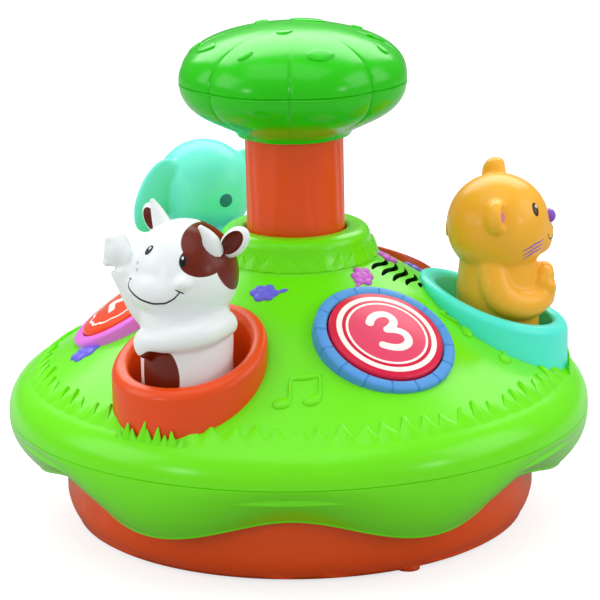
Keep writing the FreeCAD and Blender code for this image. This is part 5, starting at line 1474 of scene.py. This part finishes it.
class SPINNER_OT_elephant(Operator):
    """Model the elephant with its drooping ears, trunk and face"""

    bl_idname = "spinner.elephant"
    bl_label = "Elephant"

    def execute(self, context):
        lift = HEAD_HEIGHT
        parts = torso(SMALL_BODY)
        nose = [(16, 0, lift - 2), (24, 0, lift - 6), (27.4, 0, lift - 15), (25.2, 0, lift - 24),
                (27.0, 0, lift - 30)]
        parts.append(tube("nose", nose, (8.4, 6.8, 5.4, 4.6, 4.2)))
        for side in (-1, 1):
            ear = lump((-4.6, side * 27.0, lift + 0.4), (3.4, 9.8, 18.6), (side * 26, 0, 0))
            for vertex in ear.data.vertices:
                vertex.co.x += 0.006 * max(0.0, lift + 6 - vertex.co.z / MM) ** 1.6 * MM
            parts += [
                ear,
                lump((-3.8, side * 21.0, lift + 9.0), (4.2, 6.4, 8.4), (side * 34, 0, 0)),
                tube("sleeve", [(-4, side * 11.0, 118), (-3, side * 15.5, 110), (1, side * 17.5, 102),
                                (10, side * 15.5, 98.5), (18, side * 8.0, 98.5), (21, side * 6.0, 98.5)],
                     (6.0, 6.8, 7.0, 6.6, 6.0, 5.6)),
                lump((20.5, side * 6.4, 98.8), (5.6, 5.4, 5.8)),
            ]
        elephant = melted(joined("elephant_figure", parts), shapes().figure_grid, 7)
        painted(elephant, plastic("elephant_paint", colours().elephant, 0.34, mottle=0.03))
        skin = skin_of(elephant)
        eyes = eyes_on(skin, "elephant", [((19.0, side * 9.6, 7.2), (1.9, 2.9), 0, (0.7, 1.1), (0.3, 0.9))
                                          for side in (-1, 1)], ink_finish())
        smile = [face_line(skin, [(18.6, side * 8.2, -11.4), (17.6, side * 11.0, -10.4),
                                  (16.6, side * 13.6, -7.8)], 0.42) for side in (-1, 1)]
        set_figure("elephant", [elephant, *eyes, painted(joined("elephant_smile", smile), ink_finish())])
        return {"FINISHED"}


class SPINNER_OT_plugs(Operator):
    """Model the domed screw plugs in the backs of the animals' heads"""

    bl_idname = "spinner.plugs"
    bl_label = "Screw plugs"

    def execute(self, context):
        outline = rounded([(0, 0, 0), (3.3, 0, 0), (3.3, 2.3, 0.7), (0, 2.6, 0)])
        seat = FIGURE_RING - HEAD_RADIUS + 2.25
        for animal, angle in ANIMAL_ANGLES.items():
            place = ring_frame(angle, seat, PLUG_HEIGHT) @ turned(-90, "Y")
            plug = moved(lathed(animal + "_plug_cap", outline, steps=48), place)
            kept(smoothed(plug, 40), animal, animal + "_plug_plastic")
            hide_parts(animal + "_plug")
        return {"FINISHED"}


class SPINNER_OT_inner_finishes(Operator):
    """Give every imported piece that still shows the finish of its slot"""

    bl_idname = "spinner.inner_finishes"
    bl_label = "Inner finishes"

    def execute(self, context):
        for entry in frame["record"]["subparts"]:
            slot = entry["material_slot"]
            if slot == "cow_plastic":
                finish = note_named("cow_plain", colours().cow)
            else:
                finish = finish_for(slot)
            materials = frame["nodes"][entry["node"]].data.materials
            if not materials:
                materials.append(finish)
            for index in range(len(materials)):
                materials[index] = finish
        return {"FINISHED"}


# Stage


def seen_share(tree):
    """1 for rays from the camera, also through clear pieces, and 0 for the rest."""
    path = add_node(tree, "LightPath", -6, 0, {}).outputs
    return sums(tree, "MAXIMUM", path["Is Camera Ray"], path["Is Transmission Ray"], -5, 0)


def area_lamp(name, place, aim_height, size, depth, power):
    """A soft lamp that faces the toy's axis at a height, round where it has no depth."""
    clear_selection()
    bpy.ops.object.light_add(type="AREA", location=place)
    lamp = bpy.context.object
    lamp.name = name
    lamp.data.energy = power
    lamp.data.shape = "RECTANGLE" if depth else "DISK"
    lamp.data.size = size
    if depth:
        lamp.data.size_y = depth
    lamp.rotation_euler = (Vector((0, 0, aim_height)) - Vector(place)).to_track_quat("-Z", "Y").to_euler()


class SPINNER_OT_stage(Operator):
    """Set up the floor, the background, the lamps and the camera"""

    bl_idname = "spinner.stage"
    bl_label = "Stage"

    def execute(self, context):
        studio = context.scene.spinner_studio
        self.lay_floor()
        self.fill_room(context.scene, studio.room_light)
        for lamp in (("overhead_lamp", (-0.1, -0.25, 1.25), 0.1, 1.1, 0.8, studio.key_power),
                     ("back_lamp", (0, 0.85, 1.0), 0.15, 1.7, 0.8, studio.back_power),
                     ("left_side_lamp", (-1.35, -0.15, 0.85), 0.1, 0.9, 0.9, studio.side_power),
                     ("right_side_lamp", (1.35, -0.15, 0.85), 0.1, 0.9, 0.9, studio.side_power),
                     ("left_round_lamp", (-0.85, -0.85, 0.45), 0.15, 0.2, None, studio.spot_power),
                     ("right_round_lamp", (0.95, -0.75, 0.45), 0.15, 0.18, None, studio.spot_power * 0.8)):
            area_lamp(*lamp)
        self.set_camera(context.scene, studio.lens)
        context.scene.view_settings.view_transform = "Standard"
        return {"FINISHED"}

    def lay_floor(self):
        clear_selection()
        bpy.ops.mesh.primitive_plane_add(size=9.0, location=(0, 1.2, 0))
        floor = named("floor")
        paper = bpy.data.materials.new("white_paper")
        paper.use_nodes = True
        tree = paper.node_tree
        shader = tree.nodes["Principled BSDF"]
        fed(tree, shader, {"Base Color": (0.42, 0.42, 0.42, 1.0), "Roughness": 0.9,
                           "Specular IOR Level": 0.0})
        strength = sums(tree, "MULTIPLY", seen_share(tree), 0.74, -2, 1)
        glow = add_node(tree, "Emission", -1, 1, {"Color": (1, 1, 1, 1), "Strength": strength})
        both = add_node(tree, "AddShader", 1, 0, {0: shader.outputs["BSDF"], 1: glow.outputs["Emission"]})
        fed(tree, tree.nodes["Material Output"], {"Surface": both.outputs["Shader"]})
        floor.data.materials.append(paper)

    def fill_room(self, scene, room_light):
        scene.world = bpy.data.worlds.new("studio_air")
        scene.world.use_nodes = True
        air = scene.world.node_tree
        level = ranged(air, seen_share(air), room_light, 1.0, -2, 0)
        glossy = add_node(air, "LightPath", -4, 1, {}).outputs["Is Glossy Ray"]
        strength = sums(air, "MULTIPLY", level, ranged(air, glossy, 1.0, 0.25, -3, 1), -1, 0)
        fed(air, air.nodes["Background"], {"Color": (1, 1, 1, 1), "Strength": strength})

    def set_camera(self, scene, lens):
        clear_selection()
        bpy.ops.object.camera_add(location=CAMERA_PLACE)
        camera = bpy.context.object
        camera.name = "photo_camera"
        camera.data.lens = lens
        camera.data.sensor_width = 36.0
        camera.data.clip_start = 0.01
        forward = (Vector(CAMERA_AIM) - camera.location).normalized()
        right = forward.cross(Vector((0, 0, 1))).normalized()
        up = right.cross(forward)
        side = right * math.cos(CAMERA_ROLL) + up * math.sin(CAMERA_ROLL)
        top = up * math.cos(CAMERA_ROLL) - right * math.sin(CAMERA_ROLL)
        turn = Matrix((side, top, -forward)).transposed()
        camera.matrix_world = Matrix.Translation(camera.location) @ turn.to_4x4()
        scene.camera = camera


class SPINNER_PT_panel(Panel):
    """The spinner toy's steps, in order"""

    bl_idname = "SPINNER_PT_panel"
    bl_label = "Spinner Toy"
    bl_space_type = "VIEW_3D"
    bl_region_type = "UI"
    bl_category = "Spinner Toy"

    def draw(self, context):
        scene = context.scene
        for group in (scene.spinner_colours, scene.spinner_shapes, scene.spinner_studio):
            box = self.layout.box()
            for key in group.__annotations__:
                box.prop(group, key)
        for step in STEPS:
            self.layout.operator(step.bl_idname)


STEPS = (SPINNER_OT_dome, SPINNER_OT_skirt, SPINNER_OT_grass, SPINNER_OT_reliefs, SPINNER_OT_base,
         SPINNER_OT_trunk, SPINNER_OT_knob, SPINNER_OT_cups, SPINNER_OT_buttons, SPINNER_OT_cow,
         SPINNER_OT_cat, SPINNER_OT_elephant, SPINNER_OT_plugs, SPINNER_OT_inner_finishes, SPINNER_OT_stage)
GROUPS = {"spinner_colours": SpinnerColours, "spinner_shapes": SpinnerShapes, "spinner_studio": SpinnerStudio}


def register():
    for name, group in GROUPS.items():
        bpy.utils.register_class(group)
        setattr(bpy.types.Scene, name, PointerProperty(type=group))
    for step in (*STEPS, SPINNER_PT_panel):
        bpy.utils.register_class(step)


def unregister():
    for step in reversed((*STEPS, SPINNER_PT_panel)):
        bpy.utils.unregister_class(step)
    for name, group in GROUPS.items():
        delattr(bpy.types.Scene, name)
        bpy.utils.unregister_class(group)


def main():
    register()
    for step in STEPS:
        family, name = step.bl_idname.split(".")
        getattr(getattr(bpy.ops, family), name)()
    clear_selection()


if __name__ == "__main__":
    main()
